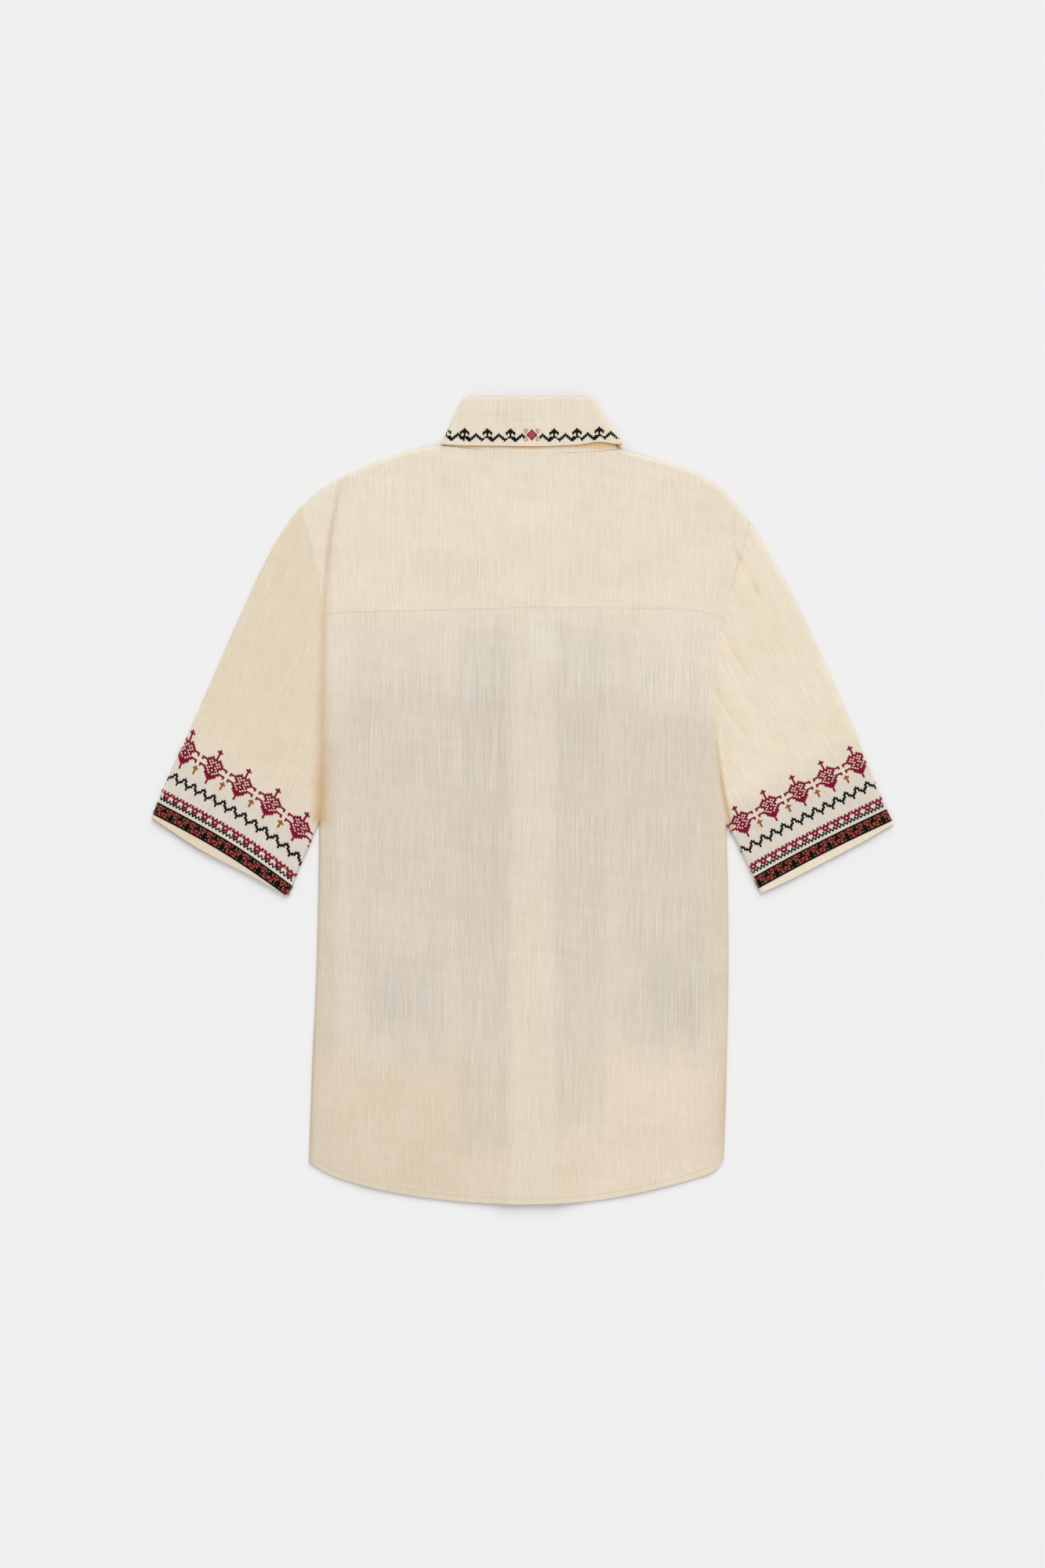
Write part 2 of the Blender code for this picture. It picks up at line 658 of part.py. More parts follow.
def leaf_start():
    """The leaf's seam to the stand: the stand's top edge, moved up and without its lapped ends."""
    left, back_line, right = collar_lines(STAND_TOP_FRONT, STAND_TOP_BACK)
    left = between(left, COLLAR_X - LEAF_SPREAD, left(np.array(1.0))[0])
    right = between(right, COLLAR_X + LEAF_SPREAD, right(np.array(1.0))[0])
    lift = SEAM + CURVED_SEAM
    return [inset(line, lambda t: lift, side) for line, side in ((left, -1), (back_line, 1), (right, 1))]


def collar_leaf():
    start = leaf_start()
    fold = collar_lines(LEAF_FOLD_FRONT, LEAF_FOLD_BACK)
    edge = collar_lines(LEAF_EDGE_FRONT, LEAF_EDGE_BACK)
    layers = []
    for half in (-DOUBLE / 2, DOUBLE / 2):
        roll = LEAF_ROLL + half
        rows = sheet_rows(start, fold, (0.0, 0.5, 1.0), NECK_TURN + LEAF_ROLL - roll)
        for angle in np.radians((40, 90, 140)):
            row = collar_line(*fold, NECK_TURN + LEAF_ROLL - roll * math.cos(angle))
            away = rows[2][:, :2] - rows[1][:, :2]
            row[:, :2] += away / np.linalg.norm(away, axis=1, keepdims=True) * roll * math.sin(angle)
            rows.append(row)
        rows += sheet_rows(fold, edge, np.linspace(0, 1, 6), NECK_TURN + LEAF_ROLL + roll)
        layer = np.stack(rows)
        upper = layer[..., 2] > NECK_AXIS + NECK_TURN + LEAF_ROLL
        corner = smooth((layer[..., 0] - TIP_X) / TIP_X_RAMP) * smooth((TIP_Y - layer[..., 1]) / TIP_Y_RAMP)
        layer[..., 2] += TIP_LIFT * corner * upper
        layers.append(layer)
    return wall("collar_leaf", *layers)


def button(name, x, y):
    """A dished button with four holes, face down on the table."""
    shape = bmesh.new()
    profile = (
        (0.0, BUTTON_DISH),
        (BUTTON_RADIUS * DISH_FLOOR, BUTTON_DISH),
        (BUTTON_RADIUS * DISH_RIM, 0.0),
        (BUTTON_RADIUS, 0.0),
        (BUTTON_RADIUS, BUTTON_THICK),
        (0.0, BUTTON_THICK),
    )
    rings = []
    for radius, z in profile:
        if radius == 0:
            rings.append([shape.verts.new((0, 0, z))])
            continue
        turns = [2 * math.pi * i / BUTTON_SIDES for i in range(BUTTON_SIDES)]
        rings.append([shape.verts.new((radius * math.cos(a), radius * math.sin(a), z)) for a in turns])
    for lower, upper in zip(rings, rings[1:]):
        for i in range(BUTTON_SIDES):
            k = (i + 1) % BUTTON_SIDES
            below = [lower[i % len(lower)], lower[k % len(lower)]]
            above = [upper[k % len(upper)], upper[i % len(upper)]]
            shape.faces.new(list(dict.fromkeys(below + above)))
    bmesh.ops.recalc_face_normals(shape, faces=shape.faces)
    mesh = bpy.data.meshes.new(name)
    for vert in shape.verts:
        vert.co = (vert.co + Vector((x, y, 0))) * MM
    shape.to_mesh(mesh)
    shape.free()
    mesh.shade_smooth()
    mesh.set_sharp_from_angle(angle=math.radians(35))
    mesh.materials.append(material("horn button"))
    piece = bpy.data.objects.new(name, mesh)
    bpy.context.scene.collection.objects.link(piece)
    cutters = []
    for i in range(4):
        angle = math.radians(45 + 90 * i)
        bpy.ops.mesh.primitive_cylinder_add(
            vertices=5,
            radius=BUTTON_HOLE * MM,
            depth=3 * BUTTON_THICK * MM,
            location=(
                (x + BUTTON_HOLE_SPREAD * math.cos(angle)) * MM,
                (y + BUTTON_HOLE_SPREAD * math.sin(angle)) * MM,
                BUTTON_THICK / 2 * MM,
            ),
        )
        cutters.append(bpy.context.object)
    for cutter in cutters:
        cutter.hide_render = True
        cutter.display_type = "WIRE"
        cut = piece.modifiers.new("hole", "BOOLEAN")
        cut.object = cutter
        cut.operation = "DIFFERENCE"
    return piece


def build():
    for old in list(bpy.data.objects):
        bpy.data.objects.remove(old)
    back()
    yoke()
    fronts()
    button_band()
    sleeve(
        "sleeve_left",
        path(curve(LEFT_ARMHOLE), curve(LEFT_YOKE_END)),
        backwards(curve(LEFT_CUFF)),
        curve(LEFT_UNDERARM),
        curve(LEFT_SLEEVE_TOP),
        1,
        HEM_SHOW,
    )
    sleeve(
        "sleeve_right",
        path(curve(RIGHT_ARMHOLE), curve(RIGHT_YOKE_END)),
        backwards(curve(RIGHT_CUFF)),
        curve(RIGHT_UNDERARM),
        curve(RIGHT_SLEEVE_TOP),
        -1,
        0.0,
    )
    collar_stand()
    collar_leaf()
    button("button_stand", BAND_X, STAND_BUTTON_Y)
    for i in range(BAND_BUTTONS):
        button(f"button_{i + 1}", BAND_X, TOP_BUTTON_Y - i * BUTTON_STEP)


build()
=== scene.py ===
"""Looks of the embroidered gauze shirt, laid face down with its back up and seen from straight above.

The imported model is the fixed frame. Each cloth solid is replaced by a finer thin shell on the same form,
with creases, stitching and cross-stitch embroidery. Lengths are in millimetres until a mesh is made.
"""

import math

import bmesh
import bpy
import numpy as np
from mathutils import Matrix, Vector
from mathutils.bvhtree import BVHTree

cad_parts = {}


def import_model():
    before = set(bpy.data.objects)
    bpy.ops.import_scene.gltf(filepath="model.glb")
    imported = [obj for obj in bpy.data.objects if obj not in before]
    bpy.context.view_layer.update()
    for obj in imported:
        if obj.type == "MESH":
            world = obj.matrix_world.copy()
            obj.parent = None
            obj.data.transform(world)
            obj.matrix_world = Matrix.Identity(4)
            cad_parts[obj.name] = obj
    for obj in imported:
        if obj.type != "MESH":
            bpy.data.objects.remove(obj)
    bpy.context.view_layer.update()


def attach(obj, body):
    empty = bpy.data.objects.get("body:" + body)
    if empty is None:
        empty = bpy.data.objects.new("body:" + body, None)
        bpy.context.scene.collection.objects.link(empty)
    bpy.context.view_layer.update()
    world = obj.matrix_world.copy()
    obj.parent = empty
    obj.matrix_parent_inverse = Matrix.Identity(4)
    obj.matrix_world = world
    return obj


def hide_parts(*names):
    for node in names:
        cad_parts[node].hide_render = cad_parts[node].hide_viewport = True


MM = 0.001
PHOTO = (1333, 2000)  # size of the photo's frame, in pixels
PHOTO_SCALE = 0.8  # millimetres for each of its pixels
PHOTO_CENTRE = (-0.4, 17.2)  # where the frame's middle falls on the shirt

# Camera, light and floor
CAMERA_HEIGHT = 4.0  # metres
SENSOR = 36.0
AMBIENT = 0.60
# Each row: name, strength, spread in degrees, azimuth from +Y towards +X, elevation
SUNS = (("key", 1.75, 46.0, 18.0, 40.0), ("fill", 0.42, 70.0, -120.0, 62.0))
FLOOR_HALF = 4000.0
FLOOR_COLOUR = (240, 240, 240)

# Cloth
CLOTH = 1.0
DOUBLE = 1.2
SEAM = 0.04  # the cloth's edges meet here, where the solids keep 0.3 mm apart
SEAM_DEPTH = 0.2
SEAM_WIDTH = 0.7
LOFT = 3.6  # ease between the fronts and the top layer
BAND_EASE = 1.0  # how much less of it there is over the band
FOLD = 5.0  # width over which the top layer turns down to its fold
UNDER_FOLD = 3.0  # the same for a sleeve's lower layer
UNDER_CLEAR = 0.42  # the sleeve's lower layer lies on its stitches, this far above the table
SLEEVE_MIDDLE = 1.2  # height of a sleeve's folds above its lower layer
HEM_SHOW = 1.5  # how far the left sleeve's lower hem shows past its upper one
HEM_RISE = (0.42, 0.25)  # where it starts to show across the sleeve, and the width it takes
HEM_SINK = 1.6  # how far the back settles at its hem, and over what height
HEM_SETTLE = 70.0
HEM_HELD = 0.7  # share of that which the band holds up
GRID = 3.2  # spacing of a shell's points
FOLD_STEPS = (0.0, 0.15, 0.4, 0.8, 1.4, 2.2, 3.2, 4.5, 6.2)
SEAM_STEPS = (0.0, 0.45, 0.9, 1.5)
YOKE_STEPS = (0.0, 0.4, 1.0, 2.0, 3.2, 4.8)
NECK_HELD = 16.0  # the yoke keeps its height this near its neck edge
# How wide and long the sheets are, for the spacing of their points
BACK_SIZE, YOKE_SIZE, FRONT_SIZE = (415, 560), (430, 190), (215, 760)
BAND_LENGTH, SLEEVE_WIDTH = 695, 215
# How softly a side edge's fold passes into its seam, less than 0 where the seam comes first
BACK_SOFT, YOKE_SOFT = 0.02, -0.04

# Button band and buttons
BAND_X = 9.6
BAND_WIDTH = 40.0
BAND_RAMP = 38.0  # the cloth comes down beside the band over this width
BAND_STITCH = 16.5  # the band's topstitching, this far from its middle
LAP_SHORT = 2.0  # the right front ends this much inside the band's edge
FRONT_LOW = -410.5  # lowest point of the edges beside the band
BUTTONS = [("button_stand", 302.0)] + [(f"button_{k + 1}", 250.0 - 90.0 * k) for k in range(6)]
HOLE_SPREAD = 1.5  # from a button's middle to each of its four holes
THREAD_HEIGHT = 0.55  # of the threads through the holes
BUTTON_THREAD = (0.32, 0.16)  # half width and lift
# Stitches of a worked buttonhole: how many, the first one's place, their spacing, and both ends across
HOLE_STITCHES, HOLE_FIRST, HOLE_STEP, HOLE_REACH = 22, -8.4, 0.8, (0.35, 1.9)
# Topstitching: distance between stitches, and share of it that shows
TOPSTITCH = (3.0, 0.68)
NECK_STITCH = (2.6, 0.45)  # the same along the neck
FINE_WIDTH, HOLE_WIDTH = 0.15, 0.36  # half widths of the thread in topstitching and buttonholes
BAND_ENDS = (-404.0, 281.0)  # of the band's topstitching

# Where cloth rises or settles. Each pair: where it starts and the width it takes.
NECK_RISE_X = (96.0, 44.0)
NECK_RISE_Y = (212.0, 42.0)
LAP_EDGE = (BAND_WIDTH / 2 + 0.8, 20.0)
LAP_END = (280.0, 30.0)
EASE_END = (230.0, 60.0)
FOLDS_END = (120.0, 90.0)

# Collar
LEAF_ROLL = 1.05  # radius of the leaf's fold over the stand
NECK_TURN = 1.75  # radius of the stand's turns at the sides of the neck
LEAF_SPREAD = 10.0  # half the gap between the leaf's front ends
STAND_LAP = 9.0  # the stand's ends pass the band's middle by this much
STAND_INSET = 0.3  # the stand's seam lies this far inside the neck's edge
STAND_RISE_X, STAND_RISE_Y = (BAND_X + 14, 12), (322.0, 14.0)  # where its right end lies over the left
NECK_AXIS = NECK_TURN + 2 * LEAF_ROLL + DOUBLE / 2  # height of the collar's middle plane
LIFT = NECK_AXIS - NECK_TURN - DOUBLE / 2  # height of the band's underside
LAP = DOUBLE + 0.4  # the right front and the stand's right end lie this much higher
TIP_LIFT = 0.9  # the leaf's right corner stands up by this much
TIP_RISE_X, TIP_RISE_Y = (62.0, 40.0), (-392.0, 32.0)
COLLAR_X = 9.0  # the collar's middle, which leans to the left above NECK_SIDE_Y
NECK_SIDE_Y = 362.0
LEAN = 0.07
NECK_FRONT_Y = 285.0
FRONT_POINTS, BACK_POINTS, TURN_POINTS = 50, 70, 15  # of a line round the neck
STAND_ROWS, RISE_ROWS, ROLL_ROWS, LEAF_ROWS = 14, 8, 11, 24  # such lines from edge to edge
STAND_TOP_FRONT = ((-9.6, 314), (10, 314.5), (36, 327), (58, 356), (72, 388))
STAND_TOP_BACK = ((-40, 386.5), (8, 385.5), (56, 386))
LEAF_FOLD_FRONT = ((10, 319.5), (24, 325.5), (36, 337), (52, 368), (62.4, 409.3))
LEAF_FOLD_BACK = ((-20, 409.3), (8, 409.3), (36, 409.3))
LEAF_EDGE_FRONT = ((58, 262), (70, 284), (80, 312), (86.5, 338), (88.5, 363))
LEAF_EDGE_BACK = ((-53.6, 362), (-5, 361.5), (23.2, 361.5), (55.2, 362.8), (78, 365.6))

# Outlines seen from above. Each row is a point (x, y), and a smooth curve runs through them.
HEM = (
    (-218.4, -368), (-190, -383.5), (-135, -398.5), (-70, -407.8), (7, -411), (76, -407.2),
    (136, -395.5), (178, -384.2), (197, -376), (205, -364),
)
LEFT_SIDE = (
    (-218.4, -368), (-216.5, -320), (-214.5, -262), (-211, -190), (-208.6, -100), (-207.6, -22),
)
RIGHT_SIDE = ((205, -364), (206.5, -320), (208, -262), (209.6, -180), (209.2, -100), (207.4, -24))
LEFT_ARMHOLE = ((-207.6, -22), (-206.3, 15), (-205, 65), (-203.5, 121), (-204, 187.5))
LEFT_YOKE_END = ((-204, 187.5), (-208, 228), (-216, 263), (-226, 300))
RIGHT_ARMHOLE = ((207.4, -24), (203, 15), (197.5, 65), (195.5, 121), (204, 186))
RIGHT_YOKE_END = ((204, 186), (212, 218), (221, 247), (231.5, 284))
LEFT_SHOULDER = ((-226, 300), (-204, 319.5), (-172, 336), (-140.8, 349), (-106.4, 359), (-80, 362))
RIGHT_SHOULDER = ((231.5, 284), (216, 303.5), (201, 319), (178, 334.5), (133.6, 349), (98, 358))
YOKE_SEAM = (
    (-204, 187.5), (-190, 191.5), (-130, 193), (0, 196.3), (138, 195.8), (175, 194), (204, 186),
)
NECK_BACK = ((-80, 362), (-38, 357), (8, 354.5), (56, 355), (98, 358))
NECK_LEFT = ((-80, 362), (-70, 330), (-46, 300), (-10.4, 285))
NECK_RIGHT = ((98, 358), (89, 330), (65, 300), (29.6, 285))
LEFT_SLEEVE_TOP = (
    (-226, 300), (-236, 288), (-256, 256.5), (-279, 209), (-307.5, 145), (-335.5, 81), (-365, 17),
    (-378.5, -17),
)
LEFT_CUFF = ((-378.5, -17), (-330, -49), (-279, -75), (-246, -93.5), (-238.4, -96))
LEFT_UNDERARM = ((-207.6, -22), (-212.6, -33), (-219.5, -50), (-226.6, -65), (-238.4, -96))
RIGHT_SLEEVE_TOP = (
    (231.5, 284), (247.5, 257), (274.5, 209), (305, 145), (333.5, 81), (359.5, 17), (378.5, -23),
)
RIGHT_CUFF = ((378.5, -23), (344, -43), (308, -62), (270, -81.5), (242.5, -94))
RIGHT_UNDERARM = ((207.4, -24), (213.2, -33.5), (222, -50), (242.5, -94))

# Creases of the top layer. Each row: start x, start y, end x, end y, depth, width.
CREASES = (
    (-184, 328, -198, 250, 1.4, 5), (-198, 250, -204, 187.5, 1.8, 7),
    (-204, 187.5, -203.5, 121, 1.9, 9), (-203.5, 121, -206.5, 5, 1.9, 9),
    (231.5, 284, 221, 247, 0.25, 4), (221, 247, 204, 186, 0.35, 5), (204, 186, 195.5, 121, 0.5, 7),
    (195.5, 121, 203.5, 15, 1.2, 8), (215, 292, 221, 247, 0.35, 4), (221, 247, 247, 196, 0.5, 4),
    (200, 150, 262, 60, 0.6, 9), (206, 70, 276, -20, 0.5, 9), (-238, 250, -292, 120, 0.5, 10),
    (-222, 120, -262, 10, 0.6, 10),
)
# Short fine creases that only the shells have, in the same columns
FINE_CREASES = (
    (201, 177, 233, 125, 0.7, 3.2), (196, 113, 226, 66, 0.5, 3.4), (214.5, 286, 217, 252, 0.35, 1.8),
    (217, 252, 222, 245, 0.4, 1.8), (229, 277, 222, 248, 0.3, 1.8), (222, 246, 246, 197, 0.4, 2),
    (221, 244, 212, 214, 0.3, 1.8), (-173, 177, -154, 178, 0.35, 1.8), (-176, 172, -160, 169, 0.3, 1.8),
    (-4, -117, 10, -121, 0.3, 1.6), (60, -378, 76, -386, 0.4, 2.2), (-41, 392, 10, 394, 0.28, 2.2),
    (-30, 387, 22, 388, 0.22, 2), (1.8, 409, 1.2, 364, 0.25, 1.8), (78, 356, 96, 348, 0.4, 1.8),
    (86, 358, 99, 351, 0.35, 1.6),
)
# Long soft folds down the back. Each row: x, height, width.
SOFT_FOLDS = (
    (-150, 0.45, 22), (-92, -0.4, 18), (-48, 0.35, 16), (78, -0.35, 18), (120, 0.45, 20),
    (168, -0.35, 16),
)
# Faint waviness of loose cloth. Each row: height, length along x, length along y, phase.
WAVES = (
    (0.10, 47.0, 8.0, 0.3),
    (0.08, 21.0, 63.0, 1.7),
    (0.06, -33.0, 27.0, 4.1),
    (0.05, 14.0, -19.0, 2.2),
    (0.05, 9.5, 71.0, 0.9),
)
WAVE_STRETCH = 2.3

# Colours as they look in even light, from 0 to 255
CREAM = (233, 221, 201)
# The same cloth on both sleeves: painted shade on the left one and painted light on the right one, as the
# light falls from the right
LEFT_SLEEVE_SHADED = (228, 212, 188)
RIGHT_SLEEVE_LIT = (236, 222, 199)
VEIL_COLOUR = (160, 164, 168)
# Colour of the painted warm shade in creases and folds
CREASE_SHADE_COLOUR = (200, 166, 122)
HORN_PALE = (196, 170, 130)
HORN_DARK = (120, 92, 62)
# Letter, name and colour of each thread
THREADS = {
    "K": ("black thread", (10, 14, 18)),
    "R": ("crimson thread", (146, 16, 52)),
    "S": ("scarlet thread", (190, 22, 50)),
    "O": ("orange thread", (190, 110, 70)),
    "G": ("gold thread", (172, 100, 36)),
    "P": ("pink thread", (226, 150, 170)),
    "B": ("brown thread", (176, 98, 50)),
    "C": ("cream thread", (238, 228, 210)),
}
BRIGHTNESS = 1.08  # how much brighter than its own colour a level white face looks

# Threads of the gauze as noise: stretch along x, y and z, then detail and roughness
WARP = (1500, 60, 60), 2
WEFT = (90, 1500, 90), 2
SLUB = (560, 11, 11), 3, 0.6
LOOSE = (620, 20, 20), 1
BEADING = (260, 760, 260), 1
VEIL_THREADS = (1500, 12, 12), 3, 0.6
# Noise between the first two values becomes a share between the last two
LOOSE_SHARE = 0.58, 0.68, 0.0, 1.0
BEAD_SHARE = 0.38, 0.60, 0.30, 1.0
VEIL_SHARE = 0.44, 0.58, 0.10, 1.15
# How much each noise changes the cloth's colour, and how much of the weft its relief has
WARP_TONE, WEFT_TONE, SLUB_TONE, CLOUD_TONE = 0.24, 0.05, 0.12, 0.10
WEFT_RELIEF = 0.4
# The pale line is partly painted highlight, and the darker one painted shade, of a raised loose thread
PALE_LINE, SHADE_LINE = 0.12, 0.09  # a loose thread, and the shade beside it
LINE_SHIFT = 0.0007  # distance between them, in metres
THREAD_SWAY = 0.0012  # how far the threads sway to a side, in metres
SWAY_SCALE, CLOUD_SCALE, THREAD_SCALE, HORN_SCALE = 90.0, 22.0, 420.0, 2600.0
HORN_STREAKS = (900, 220, 500), 3, 0.6
HORN_ROUGHNESS = 0.3, 0.7, 0.24, 0.42
TONE_POWERS = (1.12, 1.45)  # darker threads are warmer: powers of the level for green and blue

# Charts, from the top row down. Each letter is one cross stitch:
# K black, R crimson, S scarlet, O orange, G gold, P pink.
BAND_CHART = """
KKKKKKKKKKKKKK
KOKOORRROOOKOK
KORRROKORRROKK
KKROOKKKOORKKK
OROKOKKKOKORRO
RROKKKKKKKORRO
ROOKOKKKOKOORR
KKKKKKKKKKKKKK
""".split()
TULIP_CHART = """
R.R.R.
RRRRR.
.R.R..
.RRR..
..R...
""".split()
ZIGZAG_CHART = """
..K...
.KKK..
.K.K..
KK.KK.
K...KK
.....K
.....K
""".split()
GOLD_CHART = (".G.", "GGG", ".G.", ".G.", ".G.")
DIAMOND_CHART = """
.......R.......
......RRR......
.......R.......
.......R.......
.......R.......
.....R.R.R.....
....RRRRRRR....
...RR.R.R.RR...
RRRR.R.R.R.RRRR
R..RR.RRR.RR..R
....RR.R.RR....
....R.RRR.R....
RRRR.RR.RR.RRRR
R..RR.RRR.RR..R
....RR.R.RR....
....RRRRRRR....
.....RRRRR.....
......RRR......
.......R.......
.......R.......
.......R.......
""".split()
# The collar's left half, with a tree in its third column. The right half is its mirror image.
TREE_CHART = """
..K.........
.KKK........
KKKKK.......
K.K.K...K...
..K....KKK..
.KKKK.KK.KK.
K..KKKK...KK
....KK.....K
""".split()
CENTRE_CHART = """
.....K.....
....SSS....
...SSPSS...
..SSPSPSS..
.SSPSPSPSS.
KSPSPSPSPSK
KSPSPSPSPSK
.SSPSPSPSS.
..SSPSPSS..
...SSPSS...
....SSS....
.....K.....
""".split()

# What shows through the back, painted shade along its folded side edges, and where it is paler or warmer.
# Each row: low x, high x, low y, high y, softness, colour.
SHOWS_THROUGH = (
    (-230, 230, -420, 190, 40, (229, 217, 199)),
    (-230, 210, -420, 112, 36, (224, 211, 193)),
    (-230, 230, -420, -270, 60, (225, 210, 187)),
    (-14, 33, -420, 118, 3, (227, 214, 195)),
    # Painted shade along the folded side edges
    (-230, -190, -420, 60, 14, (217, 203, 183)),
    (190, 230, -420, 60, 14, (222, 208, 186)),
    (7, 42, 142, 192, 2, (231, 221, 204)),
    (110, 230, 90, 192, 46, (234, 222, 203)),
    (60, 190, -420, -262, 60, (230, 215, 193)),
    (-200, -60, -420, -262, 60, (221, 206, 183)),
)
# Embroidery on the front that shows through the gauze as uneven grey threads.
# Each row: low x, high x, low y, high y, softness, amount.
VEILS = (
    (-64, -12, -352, 176, 14, 0.21),
    (33, 84, -336, 176, 12, 0.20),
    (-176, -66, -250, 150, 40, 0.13),
    (-158, -80, -244, -150, 18, 0.17),
    (100, 194, -250, 150, 36, 0.14),
    (122, 188, -246, -140, 18, 0.19),
    (-190, 190, -120, 200, 60, 0.08),
)
VEIL_TALL = 2.5  # a veil's ends are this much softer than its sides
# Warm light under the collar's edge and in its turned corner, in the same columns as SHOWS_THROUGH
NECK_SHADE = ((-100, 110, 360.5, 365, 2, (232, 198, 154)),)
LEAF_SHADE = ((96, 112, 352, 365, 2, (246, 190, 116)),)
# Where the stitched end of a sleeve is greyer: low and high place along and up it, softness, colour
SLEEVE_TINTS = (
    (-40, 220, 45, 95, 24, (226, 214, 195)),
    (-40, 220, 7.5, 66, 5, (219, 210, 196)),
)
# Panels seen only from below, which take no painted crease shade
FACING_DOWN = ("left_front_panel", "right_front_panel", "front_band")

# Painted warm shade inside creases and along the side folds, where light comes back from cloth to cloth;
# one row darkens the yoke seam.
# Each row: points of the crease as x, y, width and strength.
WARM_CREASE_SHADE = (
    (
        (-184, 328, 1.2, 0.35), (-191, 300, 2, 0.55), (-197, 265, 2.4, 0.6), (-199, 241, 2.8, 0.52),
        (-202, 209, 3.4, 0.42), (-204, 137, 4.4, 0.42), (-204.6, 57, 6, 0.52), (-207, -18, 7.5, 0.95),
    ),
    (
        (-204, 187.5, 0.8, 0.16), (-190, 191.5, 0.8, 0.22), (-130, 193, 0.8, 0.22),
        (0, 196.3, 0.8, 0.16), (138, 195.8, 0.8, 0.18), (175, 194, 0.8, 0.18), (204, 186, 0.8, 0.12),
    ),
    ((-44, 391, 1.2, 0.05), (-28, 392.5, 1.6, 0.16), (8, 394, 1, 0.05)),
    ((-30, 386.5, 1, 0.05), (-6, 388, 1.4, 0.2), (20, 387.6, 1, 0.05)),
    ((214, 288, 0.9, 0.1), (215.5, 260, 1.2, 0.3), (220, 248, 1.6, 0.36), (223, 244, 1.2, 0.3)),
    ((229, 276, 0.8, 0.1), (223, 250, 1, 0.2), (220, 244, 1.2, 0.28), (212, 214, 0.8, 0.2)),
    ((222, 246, 1.2, 0.32), (231, 230, 1, 0.4), (241, 209, 0.8, 0.25), (247, 197, 0.8, 0.05)),
    ((200, 178, 1, 0.25), (216, 152, 1.4, 0.2), (234, 124, 1.2, 0.05)),
    ((196, 114, 1, 0.2), (212, 88, 1.4, 0.15), (230, 60, 1.2, 0.05)),
    ((200, 120, 1, 0.1), (198, 60, 1.4, 0.25), (204, 12, 2.6, 0.8), (212, -28, 2.4, 0.9)),
    ((-208, -40, 5, 0.2), (-213, -220, 4, 0.1), (-216, -310, 5, 0.3), (-218, -368, 4, 0.35)),
    ((209, -40, 4, 0.1), (209, -220, 4, 0.1), (206.5, -310, 6, 0.35), (205, -364, 4, 0.35)),
)

# Each sleeve's own frame: its corner, the direction along the cuff, and the direction up the sleeve.
LEFT_FRAME = ((-378.4, -16.4), (0.857, -0.515), (0.515, 0.857))
RIGHT_FRAME = ((242.4, -93.2), (0.892, 0.451), (-0.451, 0.892))
STITCH_REACH = 0.95  # share of its cell that a cross stitch spans
THREAD_SHARE = 0.58  # half width of a thread as a share of half a cell's diagonal
BLACK_SHARE = 0.64  # the same for the sleeves' black thread
THREAD_RISE = 0.26  # half height of a thread
STITCH_LIFT = 0.36  # rise of a stitch at its middle
CROSSED = 1.5  # a cell's second stitch rises this much higher, over the first
LEVEL = 0.2  # stitches land only where the cloth's normal has at least this much of Z
UNDER_LIFT = 0.13  # stitches on an underside are pressed flat, within UNDER_CLEAR
TOP_START, UNDER_START = 0.05, -0.02  # stitches are dropped on the cloth from these heights, in metres
# Sections of a thread: share of its length, share of its lift, share of its width
ARCHED = ((0.0, 0.0, 0.55), (0.3, 1.0, 1.0), (0.7, 1.0, 1.0), (1.0, 0.0, 0.55))
FLAT = ((0.0, 1.0, 0.9), (1.0, 1.0, 0.9))

# Rows on the sleeves: how high each starts, and height and width of its cells. A tooth is 8 units along.
TOOTH = 8
WIDE = TOOTH / 6
BAND_LOW, BAND_ROW, BAND_CELL = 6.2, 1.63, 0.97
BAND_START, BAND_REPEATS = -6.0, 9
LINE_WIDTH = 0.62  # half width of the sleeves' straight stitches
GROUND_ENDS, GROUND_STEP = (-8, 112), 2  # ends of the filled band's ground, and length of its stitches
TULIP_LOW, TULIP_ROW, TULIP_CELL = 24.5, 1.68, 1.5
ZIGZAG_LOW, ZIGZAG_ROW = 42.3, 1.58
DIAMOND_LOW, GOLD_LOW, DIAMOND_ROW = 57.8, 59.6, 1.66
DIAMONDS = 7
FINE_START = -3
FINE_LEVELS = ((21.9, 25.7), (22.6, 26.4))  # low and high ends of the fine zigzag's two lines

# Stitched strips and squares of the fronts, which lie under the back.
# Each row: middles x, lowest y, count up, step up, chart
FRONT_COLUMNS = {
    "left_front": (
        ((-37.0,), -340.0, 14, 38.0, DIAMOND_CHART),
        ((-37.0,), -321.0, 13, 38.0, GOLD_CHART),
        ((-160.0, -121.0, -82.0), -225.0, 8, 42.0, DIAMOND_CHART),
        ((-140.5, -101.5), -204.0, 7, 42.0, GOLD_CHART),
    ),
    "right_front": (
        ((57.0,), -325.0, 13, 38.0, DIAMOND_CHART),
        ((57.0,), -306.0, 12, 38.0, GOLD_CHART),
        ((127.0, 167.0), -225.0, 9, 42.0, DIAMOND_CHART),
        ((147.0,), -204.0, 8, 42.0, GOLD_CHART),
    ),
}
FRONT_CELL = (1.98, 1.66)  # width and height
# Zigzags along the strips: middles x, lowest y, count up
FRONT_ZIGZAGS = {"left_front": ((-58.0, -17.0), -352.0, 43), "right_front": ((37.0, 77.0), -337.0, 41)}

